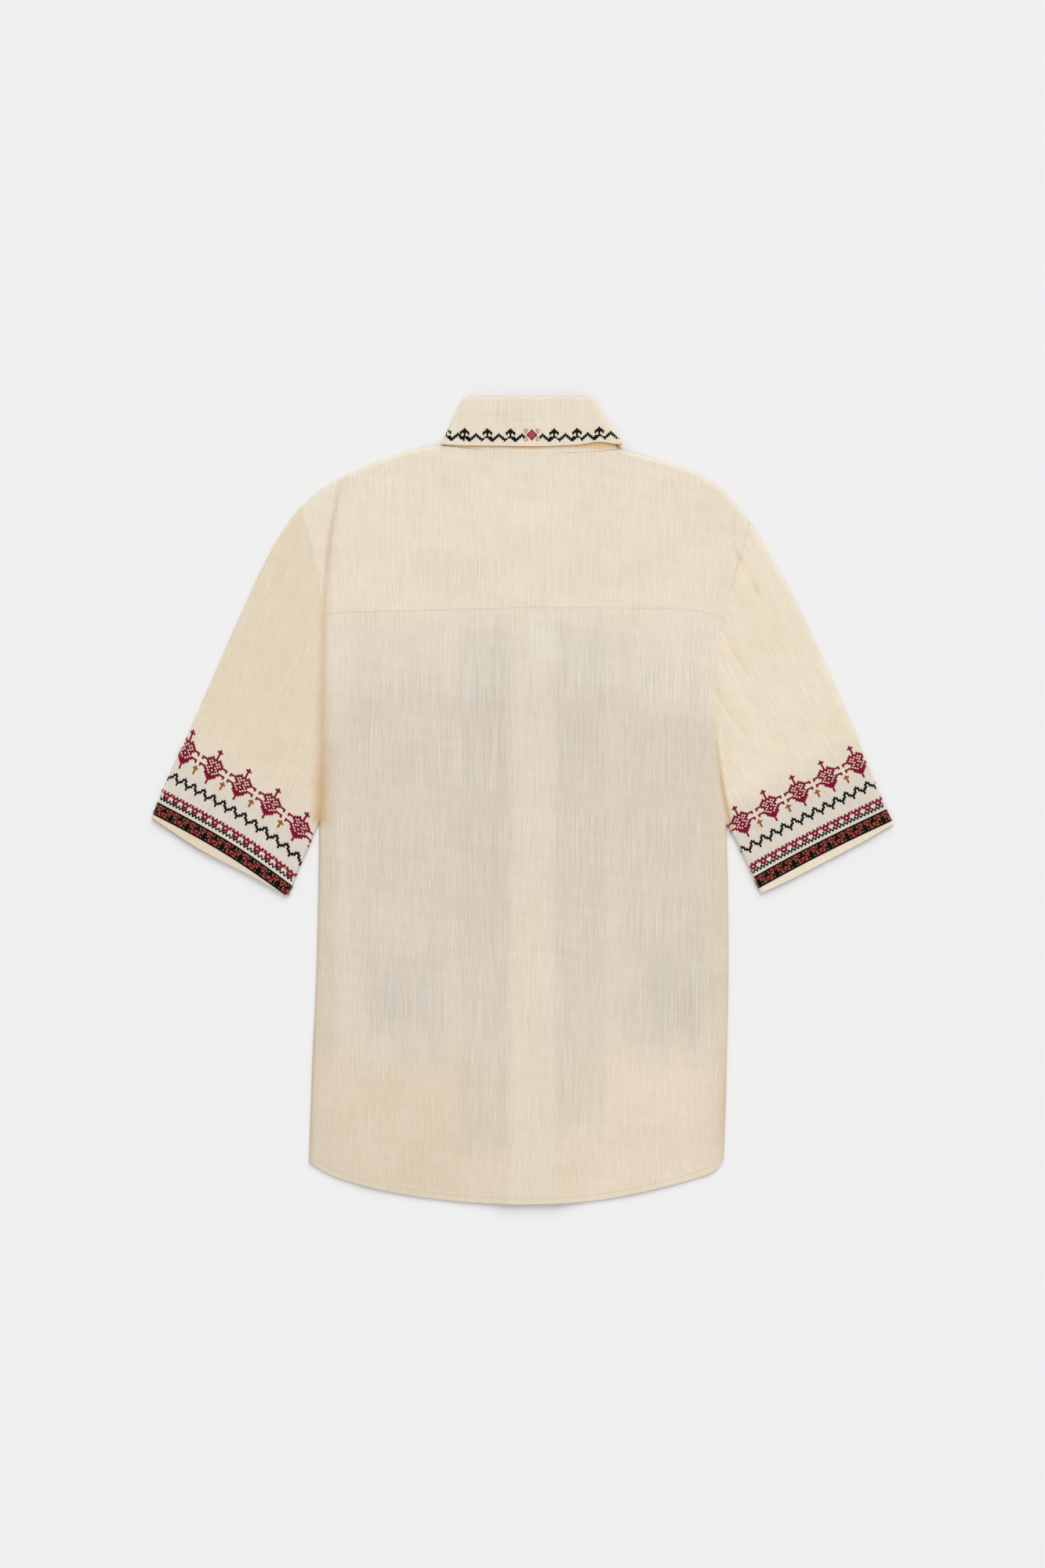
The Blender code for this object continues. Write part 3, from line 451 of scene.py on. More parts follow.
# Height of the collar's lowest row of stitches along the back: x, y
COLLAR_ROWS = (
    (-100, 368.2), (-86, 367.4), (-53.6, 366.2), (0, 365.8), (23, 365.8), (55, 366.4), (80.8, 368),
    (100, 368.6),
)
TREE_CELL, TREE_ROW = 1.951, 1.65  # width and height of a cell
LEFT_TREES = (-77.8, -59.4, -36.1, -12.6)
RIGHT_TREES = (31.8, 55.1, 77.7, 101.1)
TREE_COLUMN = 2
COLLAR_LOW = 6.0  # the collar's stitches lie above this height
MOTIF = (9.1, 372.7)  # middle of the small diamond between the trees
MOTIF_CELL = (0.93, 0.96)
MOTIF_CLEAR = 7.2  # the trees keep this far from its middle
SCROLL_PLACE = (5.7, 4.3)  # from the motif's middle to each scroll's
SCROLL_SIZE = 2.6
SCROLL_WIDTH = 0.40


def smooth(value):
    v = np.clip(value, 0.0, 1.0)
    return v * v * (3 - 2 * v)


def ramp(value, start, width):
    """0 up to start, then a soft rise to 1 over width."""
    return smooth((value - start) / width)


def by_length(p):
    along = np.concatenate([[0], np.cumsum(np.linalg.norm(np.diff(p, axis=0), axis=1))])
    along /= along[-1]
    return lambda t: np.stack([np.interp(t, along, p[:, k]) for k in (0, 1)], axis=-1)


def curve(points):
    """A smooth curve through points, as a function of the share of its length from 0 to 1."""
    p = np.array(points, float)
    q = np.vstack([2 * p[0] - p[1], p, 2 * p[-1] - p[-2]])
    u = np.linspace(0, 1, 24, endpoint=False)[:, None]
    fine = []
    for before, start, end, after in zip(q[:-3], q[1:-2], q[2:-1], q[3:]):
        bend = (2 * before - 5 * start + 4 * end - after) * u**2
        twist = (3 * start - before - 3 * end + after) * u**3
        fine.append(0.5 * (2 * start + (end - before) * u + bend + twist))
    return by_length(np.concatenate([*fine, q[-2:-1]]))


def path(*lines):
    """Several curves end to end as one, by the share of its length from 0 to 1."""
    return by_length(np.concatenate([line(np.linspace(0, 1, 120)) for line in lines]))


def length(line):
    return np.linalg.norm(np.diff(line(np.linspace(0, 1, 200)), axis=0), axis=1).sum()


def between(line, first, last):
    """The stretch of a curve that runs from x = first to x = last."""
    shares = np.linspace(0, 1, 400)
    x = line(shares)[:, 0]
    order = np.argsort(x)
    a, b = np.interp((first, last), x[order], shares[order])
    return lambda t: line(a + (b - a) * np.asarray(t, float))


def backwards(line):
    return lambda t: line(1 - np.asarray(t, float))


def straight(start, end):
    a, b = np.array(start), np.array(end)
    return lambda t: a + (b - a) * np.asarray(t, float)[..., None]


def mixed(first, second, share):
    return lambda t: (1 - share) * first(t) + share * second(t)


def trimmed(line, first, last):
    """The curve without its first and last stretch, given in millimetres."""
    whole = length(line)
    return lambda t: line((first + (whole - first - last) * np.asarray(t, float)) / whole)


def inset(line, amount, side):
    """The curve moved sideways by amount(t): side 1 to the left of its direction and -1 to the right."""

    def moved(t):
        t = np.asarray(t, float)
        d = line(np.clip(t + 1e-3, 0, 1)) - line(np.clip(t - 1e-3, 0, 1))
        d = d / np.linalg.norm(d, axis=-1, keepdims=True)
        normal = np.stack([-d[..., 1], d[..., 0]], axis=-1) * side
        return line(t) + normal * np.broadcast_to(amount(t), t.shape)[..., None]

    return moved


def patch(bottom, top, left, right, s, t):
    """Points spread between four edge curves: s runs from left to right and t from bottom to top."""
    b, a, l, r = bottom(s)[None], top(s)[None], left(t)[:, None], right(t)[:, None]
    u, v = s[None, :, None], t[:, None, None]
    left_chord = (1 - v) * l[:1] + v * l[-1:]
    right_chord = (1 - v) * r[:1] + v * r[-1:]
    return (1 - v) * b + v * a + (1 - u) * (l - left_chord) + u * (r - right_chord)


def beside(points, start, end):
    """Each point's place along a straight stretch, as a share of it, and its distance from it."""
    a, step = np.array(start, float), np.subtract(end, start)
    u = np.clip((points - a) @ step / (step @ step), 0, 1)
    return u, np.linalg.norm(points - a - u[..., None] * step, axis=-1)


def distance(points, line, count=70):
    """Distance of each point from a curve."""
    p = line(np.linspace(0, 1, count))
    nearest = np.full(points.shape[:-1], np.inf)
    for start, end in zip(p[:-1], p[1:]):
        nearest = np.minimum(nearest, beside(points, start, end)[1])
    return nearest


def steps(near, total):
    """Shares from 0 to 1 across total millimetres: close together near both ends, then GRID apart."""
    near = np.array(near) / total
    count = max(2, round((total * (1 - 2 * near[-1])) / GRID))
    middle = np.linspace(near[-1], 1 - near[-1], count + 1)[1:-1]
    return np.concatenate([near, middle, 1 - near[::-1]])


def band_ramp(x, half):
    return 1 - ramp(np.abs(x - BAND_X), half, BAND_RAMP)


def front_base(x, y):
    """Underside of the fronts: on the table, but raised over the buttons and over the collar's points."""
    band = band_ramp(x, BAND_WIDTH / 2 + 4)
    neck = (1 - ramp(np.abs(x - BAND_X), *NECK_RISE_X)) * ramp(y, *NECK_RISE_Y)
    return LIFT * (1 - (1 - band) * (1 - neck))


def lap(x):
    """1 where the right front lies over the band, falling to 0 beside it."""
    return 1 - ramp(np.abs(x - BAND_X), *LAP_EDGE)


def crease_depth(points, rows):
    deepest = np.zeros(points.shape[:-1])
    for x0, y0, x1, y1, depth, width in rows:
        _, away = beside(points, (x0, y0), (x1, y1))
        deepest = np.maximum(deepest, depth * np.exp(-((away / width) ** 2)))
    return deepest


def ripple(points):
    """Faint uneven waviness of cloth that lies loose: a sum of a few crossed waves, in millimetres."""
    x, y = points[..., 0] / WAVE_STRETCH, points[..., 1] / WAVE_STRETCH
    total = np.zeros(x.shape)
    for height, wave_x, wave_y, phase in WAVES:
        total += height * np.sin(2 * math.pi * (x / wave_x + y / wave_y) + phase)
    return total


def top_face(points):
    """Height of the top layer's outer face: back, yoke and the upper side of the sleeves."""
    x, y = points[..., 0], points[..., 1]
    under = front_base(x, y) + CLOTH + LAP * lap(x) * (1 - ramp(y, *LAP_END))
    ease = LOFT - BAND_EASE * band_ramp(x, BAND_WIDTH / 2 - 8) * (1 - ramp(y, *EASE_END))
    waves = np.zeros(x.shape)
    for at, height, width in SOFT_FOLDS:
        waves += height * np.exp(-(((x - at) / width) ** 2))
    coarse = crease_depth(points, CREASES)
    fine = crease_depth(points, FINE_CREASES) * (1 - coarse / 4)
    folds = waves * (1 - ramp(y, *FOLDS_END)) - coarse - fine + ripple(points)
    return under + ease + folds - seam_groove(points)


def seam_groove(points):
    """Depth of the groove along the top layer's yoke seam and armholes."""
    away = np.full(points.shape[:-1], np.inf)
    for table in (YOKE_SEAM, LEFT_ARMHOLE, RIGHT_ARMHOLE):
        away = np.minimum(away, distance(points, curve(table), 40))
    return SEAM_DEPTH * np.exp(-((away / SEAM_WIDTH) ** 2))


def turned(away, width):
    """Share of its height that cloth has reached at a distance from the fold it turns down at."""
    return np.sqrt(np.clip(1 - (1 - np.clip(away / width, 0, 1)) ** 2, 0, 1))


def raised(plan, height):
    return np.concatenate([plan, np.broadcast_to(height, plan.shape[:-1])[..., None]], axis=-1)


def albedo(colour):
    """A colour in even light as the surface's own, from 0 to 1 in linear light."""
    c = np.asarray(colour, float) / 255
    return np.where(c <= 0.04045, c / 12.92, ((c + 0.055) / 1.055) ** 2.4) / BRIGHTNESS


def placed(name, data):
    """A new object with this data, in the scene."""
    made = bpy.data.objects.new(name, data)
    bpy.context.scene.collection.objects.link(made)
    return made


def new_object(name, points, faces, materials):
    mesh = bpy.data.meshes.new(name)
    mesh.from_pydata((np.asarray(points) * MM).tolist(), [], faces)
    mesh.shade_smooth()
    for made in materials:
        mesh.materials.append(made)
    return placed(name, mesh)


def shell(name, node, outer, inner, finish, colour=CREAM, patches=(), closed=False, frame=None, veils=()):
    """A thin shell between two grids of points. closed joins each row's last point to its first."""
    rows, columns = outer.shape[:2]
    size = rows * columns
    index = np.arange(size).reshape(rows, columns)
    edges = [index[:, 0], index[:, -1]]
    if closed:
        index = np.concatenate([index, index[:, :1]], axis=1)
        edges = []
    grid = np.stack([index[:-1, :-1], index[:-1, 1:], index[1:, 1:], index[1:, :-1]], -1).reshape(-1, 4)
    ends = []
    for edge in (index[0], index[-1], *edges):
        ends.append(np.stack([edge[:-1], edge[1:], edge[1:] + size, edge[:-1] + size], -1))
    faces = np.concatenate([grid, grid + size, *ends]).tolist()
    points = np.concatenate([outer.reshape(-1, 3), inner.reshape(-1, 3)])
    piece = new_object(name, points, faces, [finish])
    tidy = bmesh.new()
    tidy.from_mesh(piece.data)
    bmesh.ops.recalc_face_normals(tidy, faces=tidy.faces)
    tidy.to_mesh(piece.data)
    tidy.free()
    piece.data.set_sharp_from_angle(angle=math.radians(60))
    paint(piece, points, colour, patches, frame, veils)
    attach(piece, "root")
    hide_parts(node)
    return piece


def wave(value, height, length, phase=0.0):
    return height * np.sin(value / length + phase)


def soft_box(places, box, softness, wobbles):
    """Share of a box at each place: 1 inside it, falling to 0 at its soft and uneven edges."""
    share = 1.0
    for at, low, high, soft, wobble in zip(places, box[::2], box[1::2], softness, wobbles):
        share = share * smooth((at - low + wobble) / soft + 0.5)
        share = share * smooth((high - at + wobble) / soft + 0.5)
    return share


def paint(piece, points, colour, patches, frame, veils):
    """Writes each point's colour: the piece's own, then each soft-edged patch over it, some of them
    painted shade, then the painted warm shade of the creases.
    """
    shade = np.tile(albedo(colour), (len(points), 1))
    plan = points[:, :2]
    x, y = plan.T
    if frame:
        origin, along, up = (np.array(part) for part in frame)
        x, y = (plan - origin) @ along, (plan - origin) @ up
    uneven = wave(y, height=1.5, length=17.0) + wave(x, height=1.0, length=11.0, phase=1)
    for *box, soft, patch_colour in patches:
        share = soft_box((x, y), box, (soft, soft), (uneven, uneven))
        shade += (albedo(patch_colour) - shade) * share[:, None]
    # Painted warm shade along the creases and side folds, which also darkens the yoke seam
    for crease in () if piece.name in FACING_DOWN else WARM_CREASE_SHADE:
        share = np.zeros(len(points))
        for (*start, w0, k0), (*end, w1, k1) in zip(crease[:-1], crease[1:]):
            u, off = beside(plan, start, end)
            here = (k0 + (k1 - k0) * u) * np.exp(-((off / (w0 + (w1 - w0) * u)) ** 2))
            share = np.maximum(share, here)
        shade += (albedo(CREASE_SHADE_COLOUR) - shade) * share[:, None]
    x, y = plan.T
    uneven = wave(x, height=7.0, length=5.3) + wave(x, height=5.0, length=2.1, phase=2)
    veil = np.zeros(len(points))
    for *box, soft, amount in veils:
        veil += amount * soft_box((x, y), box, (soft, VEIL_TALL * soft), (0.0, uneven))
    shade = np.concatenate([shade, np.ones((len(points), 1))], axis=1)
    for name, kind, field, values in (
        ("shade", "FLOAT_COLOR", "color", shade),
        ("veil", "FLOAT", "value", veil),
    ):
        attribute = piece.data.attributes.new(name, kind, "POINT")
        attribute.data.foreach_set(field, values.astype(np.float32).ravel())


class Nodes:
    """Short calls for building a material's nodes."""

    def __init__(self, name):
        self.material = bpy.data.materials.new(name)
        self.material.use_nodes = True
        self.tree = self.material.node_tree

    def add(self, kind, inputs=(), **settings):
        node = self.tree.nodes.new(kind)
        for key, value in settings.items():
            setattr(node, key, value)
        for key, value in dict(inputs).items():
            self.feed(node.inputs[key], value)
        return node

    def feed(self, socket, value):
        if isinstance(value, bpy.types.NodeSocket):
            self.tree.links.new(value, socket)
        else:
            socket.default_value = value

    def coordinates(self):
        return self.add("ShaderNodeTexCoord").outputs["Object"]

    def surface(self, inputs):
        """Sets or links the shader's own inputs."""
        for key, value in inputs.items():
            self.feed(self.tree.nodes["Principled BSDF"].inputs[key], value)

    def maths(self, operation, *values):
        return self.add("ShaderNodeMath", dict(enumerate(values)), operation=operation).outputs[0]

    def times(self, a, b):
        return self.maths("MULTIPLY", a, b)

    def vector(self, operation, a, b):
        return self.add("ShaderNodeVectorMath", {0: a, 1: b}, operation=operation).outputs[0]

    def combined(self, *parts):
        return self.add("ShaderNodeCombineXYZ", dict(enumerate(parts))).outputs[0]

    def value_of(self, name, output):
        return self.add("ShaderNodeAttribute", attribute_name=name).outputs[output]

    def mapped(self, value, *limits):
        """A value between the first two limits as one between the last two."""
        return self.add("ShaderNodeMapRange", dict(enumerate((value, *limits)))).outputs[0]

    def blend(self, share, first, second):
        made = self.add("ShaderNodeMix", {0: share, 6: first, 7: second}, data_type="RGBA")
        return made.outputs[2]

    def bump(self, strength, distance, height):
        made = self.add("ShaderNodeBump", {"Strength": strength, "Distance": distance, "Height": height})
        return made.outputs[0]

    def noise(self, vector, scale, detail=2.0, roughness=0.5):
        inputs = {"Vector": vector, "Scale": scale, "Detail": detail, "Roughness": roughness}
        return self.add("ShaderNodeTexNoise", inputs).outputs["Fac"]

    def near_one(self, value, amount):
        """A factor near 1 from a noise near 0.5."""
        return self.maths("ADD", self.times(value, amount), 1 - amount / 2)

    def moved(self, vector, change, amount):
        return self.add("ShaderNodeMapping", {"Vector": vector, change: amount}).outputs[0]

    def streaks(self, vector, angle, scale, detail, roughness=0.5):
        """Noise along coordinates turned by an angle in degrees and stretched, as threads run one way."""
        vector = self.moved(vector, "Rotation", (0, 0, -math.radians(angle)))
        return self.noise(self.moved(vector, "Scale", scale), 1.0, detail, roughness)


def cloth_material(name, angle):
    """Slubby plain-weave gauze. angle turns the weave with the piece's grain."""
    n = Nodes(name)
    even = n.coordinates()
    sway = n.times(n.maths("SUBTRACT", n.noise(even, SWAY_SCALE), 0.5), THREAD_SWAY)
    place = n.vector("ADD", even, n.combined(sway))
    warp, weft, slub = (n.streaks(place, angle, *threads) for threads in (WARP, WEFT, SLUB))
    cloud = n.noise(place, CLOUD_SCALE, 3)
    level = n.near_one(warp, WARP_TONE)
    for noise, amount in ((weft, WEFT_TONE), (slub, SLUB_TONE), (cloud, CLOUD_TONE)):
        level = n.times(level, n.near_one(noise, amount))
    # Loose thick threads: a pale line, partly painted highlight, with a painted shade line beside it
    beads = n.mapped(n.streaks(place, angle, *BEADING), *BEAD_SHARE)
    lines = []
    for shift in (0.0, LINE_SHIFT):
        moved = n.moved(place, "Location", (shift, 0, 0))
        lines.append(n.times(n.mapped(n.streaks(moved, angle, *LOOSE), *LOOSE_SHARE), beads))
    pair = n.maths("SUBTRACT", n.times(lines[0], PALE_LINE), n.times(lines[1], SHADE_LINE))
    level = n.maths("ADD", level, pair)
    uneven = n.mapped(n.streaks(place, angle, *VEIL_THREADS), *VEIL_SHARE)
    veil = n.times(n.value_of("veil", "Fac"), uneven)
    veiled = n.blend(veil, n.value_of("shade", "Color"), (*albedo(VEIL_COLOUR), 1))
    tint = n.combined(level, *(n.maths("POWER", level, power) for power in TONE_POWERS))
    relief = n.maths("ADD", n.maths("ADD", warp, n.times(weft, WEFT_RELIEF)), lines[0])
    n.surface(
        {
            "Base Color": n.vector("MULTIPLY", veiled, tint),
            "Normal": n.bump(0.35, 0.0006, relief),
            "Roughness": 0.92,
            "Specular IOR Level": 0.15,
            "Sheen Weight": 0.12,
            "Sheen Roughness": 0.6,
        }
    )
    return n.material


def thread_material(name, colour):
    n = Nodes(name)
    level = n.maths("MULTIPLY_ADD", n.noise(n.coordinates(), THREAD_SCALE), 0.7, 0.65)
    tint = n.vector("MULTIPLY", tuple(albedo(colour)), n.combined(level, level, level))
    n.surface({"Base Color": tint, "Roughness": 0.6, "Specular IOR Level": 0.12})
    return n.material


def button_material():
    """Pale horn with soft cloudy streaks and a low polish."""
    n = Nodes("horn")
    place = n.coordinates()
    streak = n.streaks(place, 30, *HORN_STREAKS)
    n.surface(
        {
            "Base Color": n.blend(streak, (*albedo(HORN_PALE), 1), (*albedo(HORN_DARK), 1)),
            "Roughness": n.mapped(n.noise(place, HORN_SCALE), *HORN_ROUGHNESS),
            "Normal": n.bump(0.15, 0.0001, streak),
        }
    )
    return n.material


def outline_of(fold, seam):
    """A side edge: folded along its first curve and sewn along the second. Also the fold's share."""
    return path(fold, seam), length(fold) / (length(fold) + length(seam))


def moved_in(edges, thick, soft):
    """Left and right edges moved in by half a seam, and by thick too along their folds.

    Each edge is a curve and the share of it at which its fold and seam meet.
    """
    return [
        inset(line, lambda t, share=share: SEAM / 2 + thick * smooth((share - t) / soft + 0.5), side)
        for (line, share), side in zip(edges, (-1, 1))
    ]


def back(finish):
    folds = curve(LEFT_SIDE), curve(RIGHT_SIDE)
    edges = outline_of(folds[0], curve(LEFT_ARMHOLE)), outline_of(folds[1], curve(RIGHT_ARMHOLE))
    s, t = steps(FOLD_STEPS, BACK_SIZE[0]), steps(SEAM_STEPS, BACK_SIZE[1])
    top = inset(curve(YOKE_SEAM), lambda t: SEAM / 2, -1)
    layers = []
    for thick in (0.0, CLOTH):
        plan = patch(curve(HEM), top, *moved_in(edges, thick, BACK_SOFT), s, t)
        x, y = plan[..., 0], plan[..., 1]
        sink = HEM_SINK * (1 - smooth((y - y[:1]) / HEM_SETTLE))
        height = top_face(plan) - sink * (1 - HEM_HELD * band_ramp(x, BAND_WIDTH / 2)) - thick
        low = front_base(x, y) + CLOTH + SEAM + LAP * lap(x)
        away = np.minimum(*(distance(plan, fold) for fold in folds)) - thick - SEAM / 2
        layers.append(raised(plan, low + (height - low) * turned(away, FOLD - thick)))
    return shell("back_panel", "back", *layers, finish, CREAM, SHOWS_THROUGH, veils=VEILS)


def yoke(finish):
    folds = curve(LEFT_SHOULDER), curve(RIGHT_SHOULDER)
    edges = outline_of(curve(LEFT_YOKE_END), folds[0]), outline_of(curve(RIGHT_YOKE_END), folds[1])
    s, t = steps(FOLD_STEPS, YOKE_SIZE[0]), steps(YOKE_STEPS, YOKE_SIZE[1])
    bottom = inset(curve(YOKE_SEAM), lambda t: SEAM / 2, 1)
    neck = curve(NECK_BACK)
    layers = []
    for thick in (0.0, CLOTH):
        plan = patch(bottom, inset(neck, lambda t: SEAM, -1), *moved_in(edges, thick, YOKE_SOFT), s, t)
        low = front_base(plan[..., 0], plan[..., 1]) + CLOTH + SEAM
        away = np.minimum(*(distance(plan, fold) for fold in folds)) - thick - SEAM / 2
        share = turned(away, FOLD - thick)
        share += (1 - share) * smooth((NECK_HELD - distance(plan, neck)) / NECK_HELD)
        layers.append(raised(plan, low + (top_face(plan) - thick - low) * share))
    return shell("yoke_panel", "yoke", *layers, finish)


def front(side, finish, hem, top, left, right):
    """A front panel. The right one also lies over the band."""
    plan = patch(hem, top, left, right, *(steps(SEAM_STEPS, size) for size in FRONT_SIZE))
    x, y = plan[..., 0], plan[..., 1]
    base = front_base(x, y) + (LAP * lap(x) if side == "right" else 0)
    layers = raised(plan, base + UNDER_CLEAR), raised(plan, base + CLOTH)
    return shell(f"{side}_front_panel", f"front_{side}", *layers, finish)


def fronts(finish):
    hem, edge = curve(HEM), BAND_X - BAND_WIDTH / 2
    left_side = path(curve(LEFT_SIDE), curve(LEFT_ARMHOLE), curve(LEFT_YOKE_END))
    right_side = path(curve(RIGHT_SIDE), curve(RIGHT_ARMHOLE), curve(RIGHT_YOKE_END))
    x = edge - SEAM
    left_front = front(
        "left",
        finish,
        between(hem, HEM[0][0], x),
        path(curve(LEFT_SHOULDER), between(curve(NECK_LEFT), NECK_LEFT[0][0], x)),
        inset(left_side, lambda t: SEAM / 2, -1),
        straight((x, FRONT_LOW), (x, NECK_FRONT_Y)),
    )
    x = edge + LAP_SHORT
    neck, shoulder = backwards(curve(NECK_RIGHT)), backwards(curve(RIGHT_SHOULDER))
    right_front = front(
        "right",
        finish,
        between(hem, x, HEM[-1][0]),
        path(straight((x, NECK_FRONT_Y), NECK_RIGHT[-1]), neck, shoulder),
        straight((x, FRONT_LOW), (x, NECK_FRONT_Y)),
        inset(right_side, lambda t: SEAM / 2, 1),
    )
    return left_front, right_front


def button_band(finish):
    first, last = BAND_X - BAND_WIDTH / 2, BAND_X + BAND_WIDTH / 2
    neck = straight((first, NECK_FRONT_Y), (last, NECK_FRONT_Y))
    edges = [straight((x, FRONT_LOW), (x, NECK_FRONT_Y)) for x in (first, last)]
    s, t = steps(SEAM_STEPS, BAND_WIDTH), steps(SEAM_STEPS, BAND_LENGTH)
    plan = patch(between(curve(HEM), first, last), neck, *edges, s, t)
    return shell("front_band", "button_band", raised(plan, LIFT), raised(plan, LIFT + DOUBLE), finish)


def sleeve(name, finish, tables, side, hem_show, colour, frame):
    """A flattened tube: the upper side runs from the underarm to the top fold, the lower side back."""
    armhole, yoke_end, cuff, underarm, fold = (curve(table) for table in tables)
    armhole, cuff = path(armhole, yoke_end), backwards(cuff)
    s = steps(FOLD_STEPS, SLEEVE_WIDTH)
    t = steps(SEAM_STEPS, (length(underarm) + length(fold)) / 2)
    middle = CLOTH + SLEEVE_MIDDLE
    layers = []
    for thick in (0.0, CLOTH):
        plan = patch(
            trimmed(inset(armhole, lambda t: SEAM / 2, side), SEAM / 2 + thick, thick),
            trimmed(cuff, SEAM / 2 + thick, thick),
            inset(underarm, lambda t: SEAM / 2 + thick, -side),
            inset(fold, lambda t: thick, side),
            s,
            t,
        )
        width = np.linalg.norm(plan[:, -1] - plan[:, 0], axis=1)[:, None]
        away = np.minimum(s, 1 - s) * width
        share = turned(away, FOLD - thick)
        top = middle + (top_face(plan) - thick - middle) * share
        floor = UNDER_CLEAR if thick == 0 else CLOTH
        low = middle + (floor - middle) * turned(away, UNDER_FOLD - thick * 0.6)
        # The lower layer reaches past the upper one at the hem's outer half
        reach = hem_show * (t**6)[:, None] * ramp(s, *HEM_RISE) * share
        under = plan + reach[..., None] * np.array((side * -0.5, -0.86))
        layers.append(np.concatenate([raised(plan, top), raised(under, low)[:, -2:0:-1]], axis=1))
    node = f"sleeve_{name}"
    name = f"{name}_sleeve_shell"
    return shell(name, node, *layers, finish, colour, SLEEVE_TINTS, closed=True, frame=frame)


def collar_line(line_left, line_back, line_right, radius):
    """One line round the neck: left front, left turn, back, right turn, right front.

    radius is the line's distance from the collar's middle plane: the front halves lie under that plane
    and the back over it, and the line turns from one to the other at the sides of the neck.
    """
    turn = np.radians(np.linspace(-90, 90, TURN_POINTS)[1:-1])
    halves = []
    for line, side in ((line_left, -1), (line_right, 1)):
        flat = line(np.linspace(0, 1, FRONT_POINTS))
        corner = flat[-1] + np.stack([side * radius * np.cos(turn), 0 * turn], axis=1)
        rise = NECK_AXIS + radius * np.sin(turn)
        halves.append((raised(flat, NECK_AXIS - radius), raised(corner, rise)))
    (left, left_turn), (right, right_turn) = halves
    back_row = raised(line_back(np.linspace(0, 1, BACK_POINTS)), NECK_AXIS + radius)
    return np.concatenate([left, left_turn, back_row, right_turn[::-1], right[::-1]])


def collar_lines(front_table, back_table):
    """The three curves of a line round the neck, from offsets from the collar's middle."""
    left, right = (
        curve([(COLLAR_X + side * x - LEAN * max(y - NECK_SIDE_Y, 0), y) for x, y in front_table])
        for side in (-1, 1)
    )
    return left, curve([left(np.array(1.0)), *back_table, right(np.array(1.0))]), right


def neck_seam():
    """The three curves along which the stand is sewn to the neck, its front ends lapped."""
    fitted = []
    for table, side in ((NECK_LEFT, -1), (NECK_RIGHT, 1)):
        lapped = straight((BAND_X - side * STAND_LAP, NECK_FRONT_Y), table[-1])
        line = inset(path(lapped, backwards(curve(table))), lambda t: STAND_INSET, side)
        reach = -side * (NECK_TURN + DOUBLE)
        fitted.append(
            lambda t, line=line, reach=reach: line(t)
            + np.stack([reach * smooth(t * 2 - 1), SEAM + 0 * t], axis=-1)
        )
    ends = [line(np.array(1.0)) for line in fitted]
    back_line = curve([ends[0], *[(x, y + SEAM) for x, y in NECK_BACK[1:-1]], ends[1]])
    return fitted[0], back_line, fitted[1]


def sheet_rows(first, second, count, radius):
    """Lines round the neck from one set of three curves to another."""
    shares = np.linspace(0, 1, count)
    return [collar_line(*(mixed(a, b, share) for a, b in zip(first, second)), radius) for share in shares]


def collar_stand(finish):
    seam, top = neck_seam(), collar_lines(STAND_TOP_FRONT, STAND_TOP_BACK)
    layers = []
    for half in (-DOUBLE / 2, DOUBLE / 2):
        layer = np.stack(sheet_rows(seam, top, STAND_ROWS, NECK_TURN + half))
        x, y, z = np.moveaxis(layer[:, -FRONT_POINTS:], -1, 0)
        z += LAP * (1 - ramp(x, *STAND_RISE_X)) * (1 - ramp(y, *STAND_RISE_Y))
        layers.append(layer)
    return shell("collar_stand_shell", "collar_stand", *layers, finish, CREAM, NECK_SHADE)


def leaf_start():
    """The leaf's seam to the stand: the stand's top edge, moved up and without its lapped ends."""
    left, back_line, right = collar_lines(STAND_TOP_FRONT, STAND_TOP_BACK)
    left = between(left, COLLAR_X - LEAF_SPREAD, left(np.array(1.0))[0])
    right = between(right, COLLAR_X + LEAF_SPREAD, right(np.array(1.0))[0])
    lines = (left, -1), (back_line, 1), (right, 1)
    return [inset(line, lambda t: 2 * SEAM, side) for line, side in lines]


def collar_leaf(finish):
    start = leaf_start()
    fold = collar_lines(LEAF_FOLD_FRONT, LEAF_FOLD_BACK)
    edge = collar_lines(LEAF_EDGE_FRONT, LEAF_EDGE_BACK)
    middle = NECK_TURN + LEAF_ROLL
    layers = []
    for half in (-DOUBLE / 2, DOUBLE / 2):
        roll = LEAF_ROLL + half
        rows = sheet_rows(start, fold, RISE_ROWS, middle - roll)
        away = rows[-1][:, :2] - rows[-2][:, :2]
        away /= np.linalg.norm(away, axis=1, keepdims=True)
        for angle in np.radians(np.linspace(0, 180, ROLL_ROWS)[1:-1]):
            row = collar_line(*fold, middle - roll * math.cos(angle))
            row[:, :2] += away * roll * math.sin(angle)
            rows.append(row)
        rows += sheet_rows(fold, edge, LEAF_ROWS, middle + roll)
        layer = np.stack(rows)
        x, y, z = np.moveaxis(layer, -1, 0)
        upper = z > NECK_AXIS + NECK_TURN + LEAF_ROLL
        z += upper * TIP_LIFT * ramp(x, *TIP_RISE_X) * ramp(-y, *TIP_RISE_Y)
        z -= upper * crease_depth(layer[..., :2], FINE_CREASES)
        layers.append(layer)
    return shell("collar_leaf_shell", "collar_leaf", *layers, finish, CREAM, LEAF_SHADE)


def left_sleeve_place(q, v):
    """A cell's place in the left sleeve's frame, where the cloth is foreshortened towards its fold.

    The values follow how the rows of stitches lie in the photo.
    """
    u = -0.5 + 1.297 * q + 0.0025 * q * q
    arch = 3.5 * (np.sin(math.pi * np.clip(u / 155, 0, 1)) - 1) * (1 - v / 110)
    droop = 9 * (np.clip(u - 70, 0, None) / 85) ** 2 * v / 75
    outer = np.exp(-np.clip(u, 0, None) / 32)
    above = np.clip(v - 54, 0, None)
    return u - 0.22 * outer * above, v + arch - droop + 0.16 * outer * above


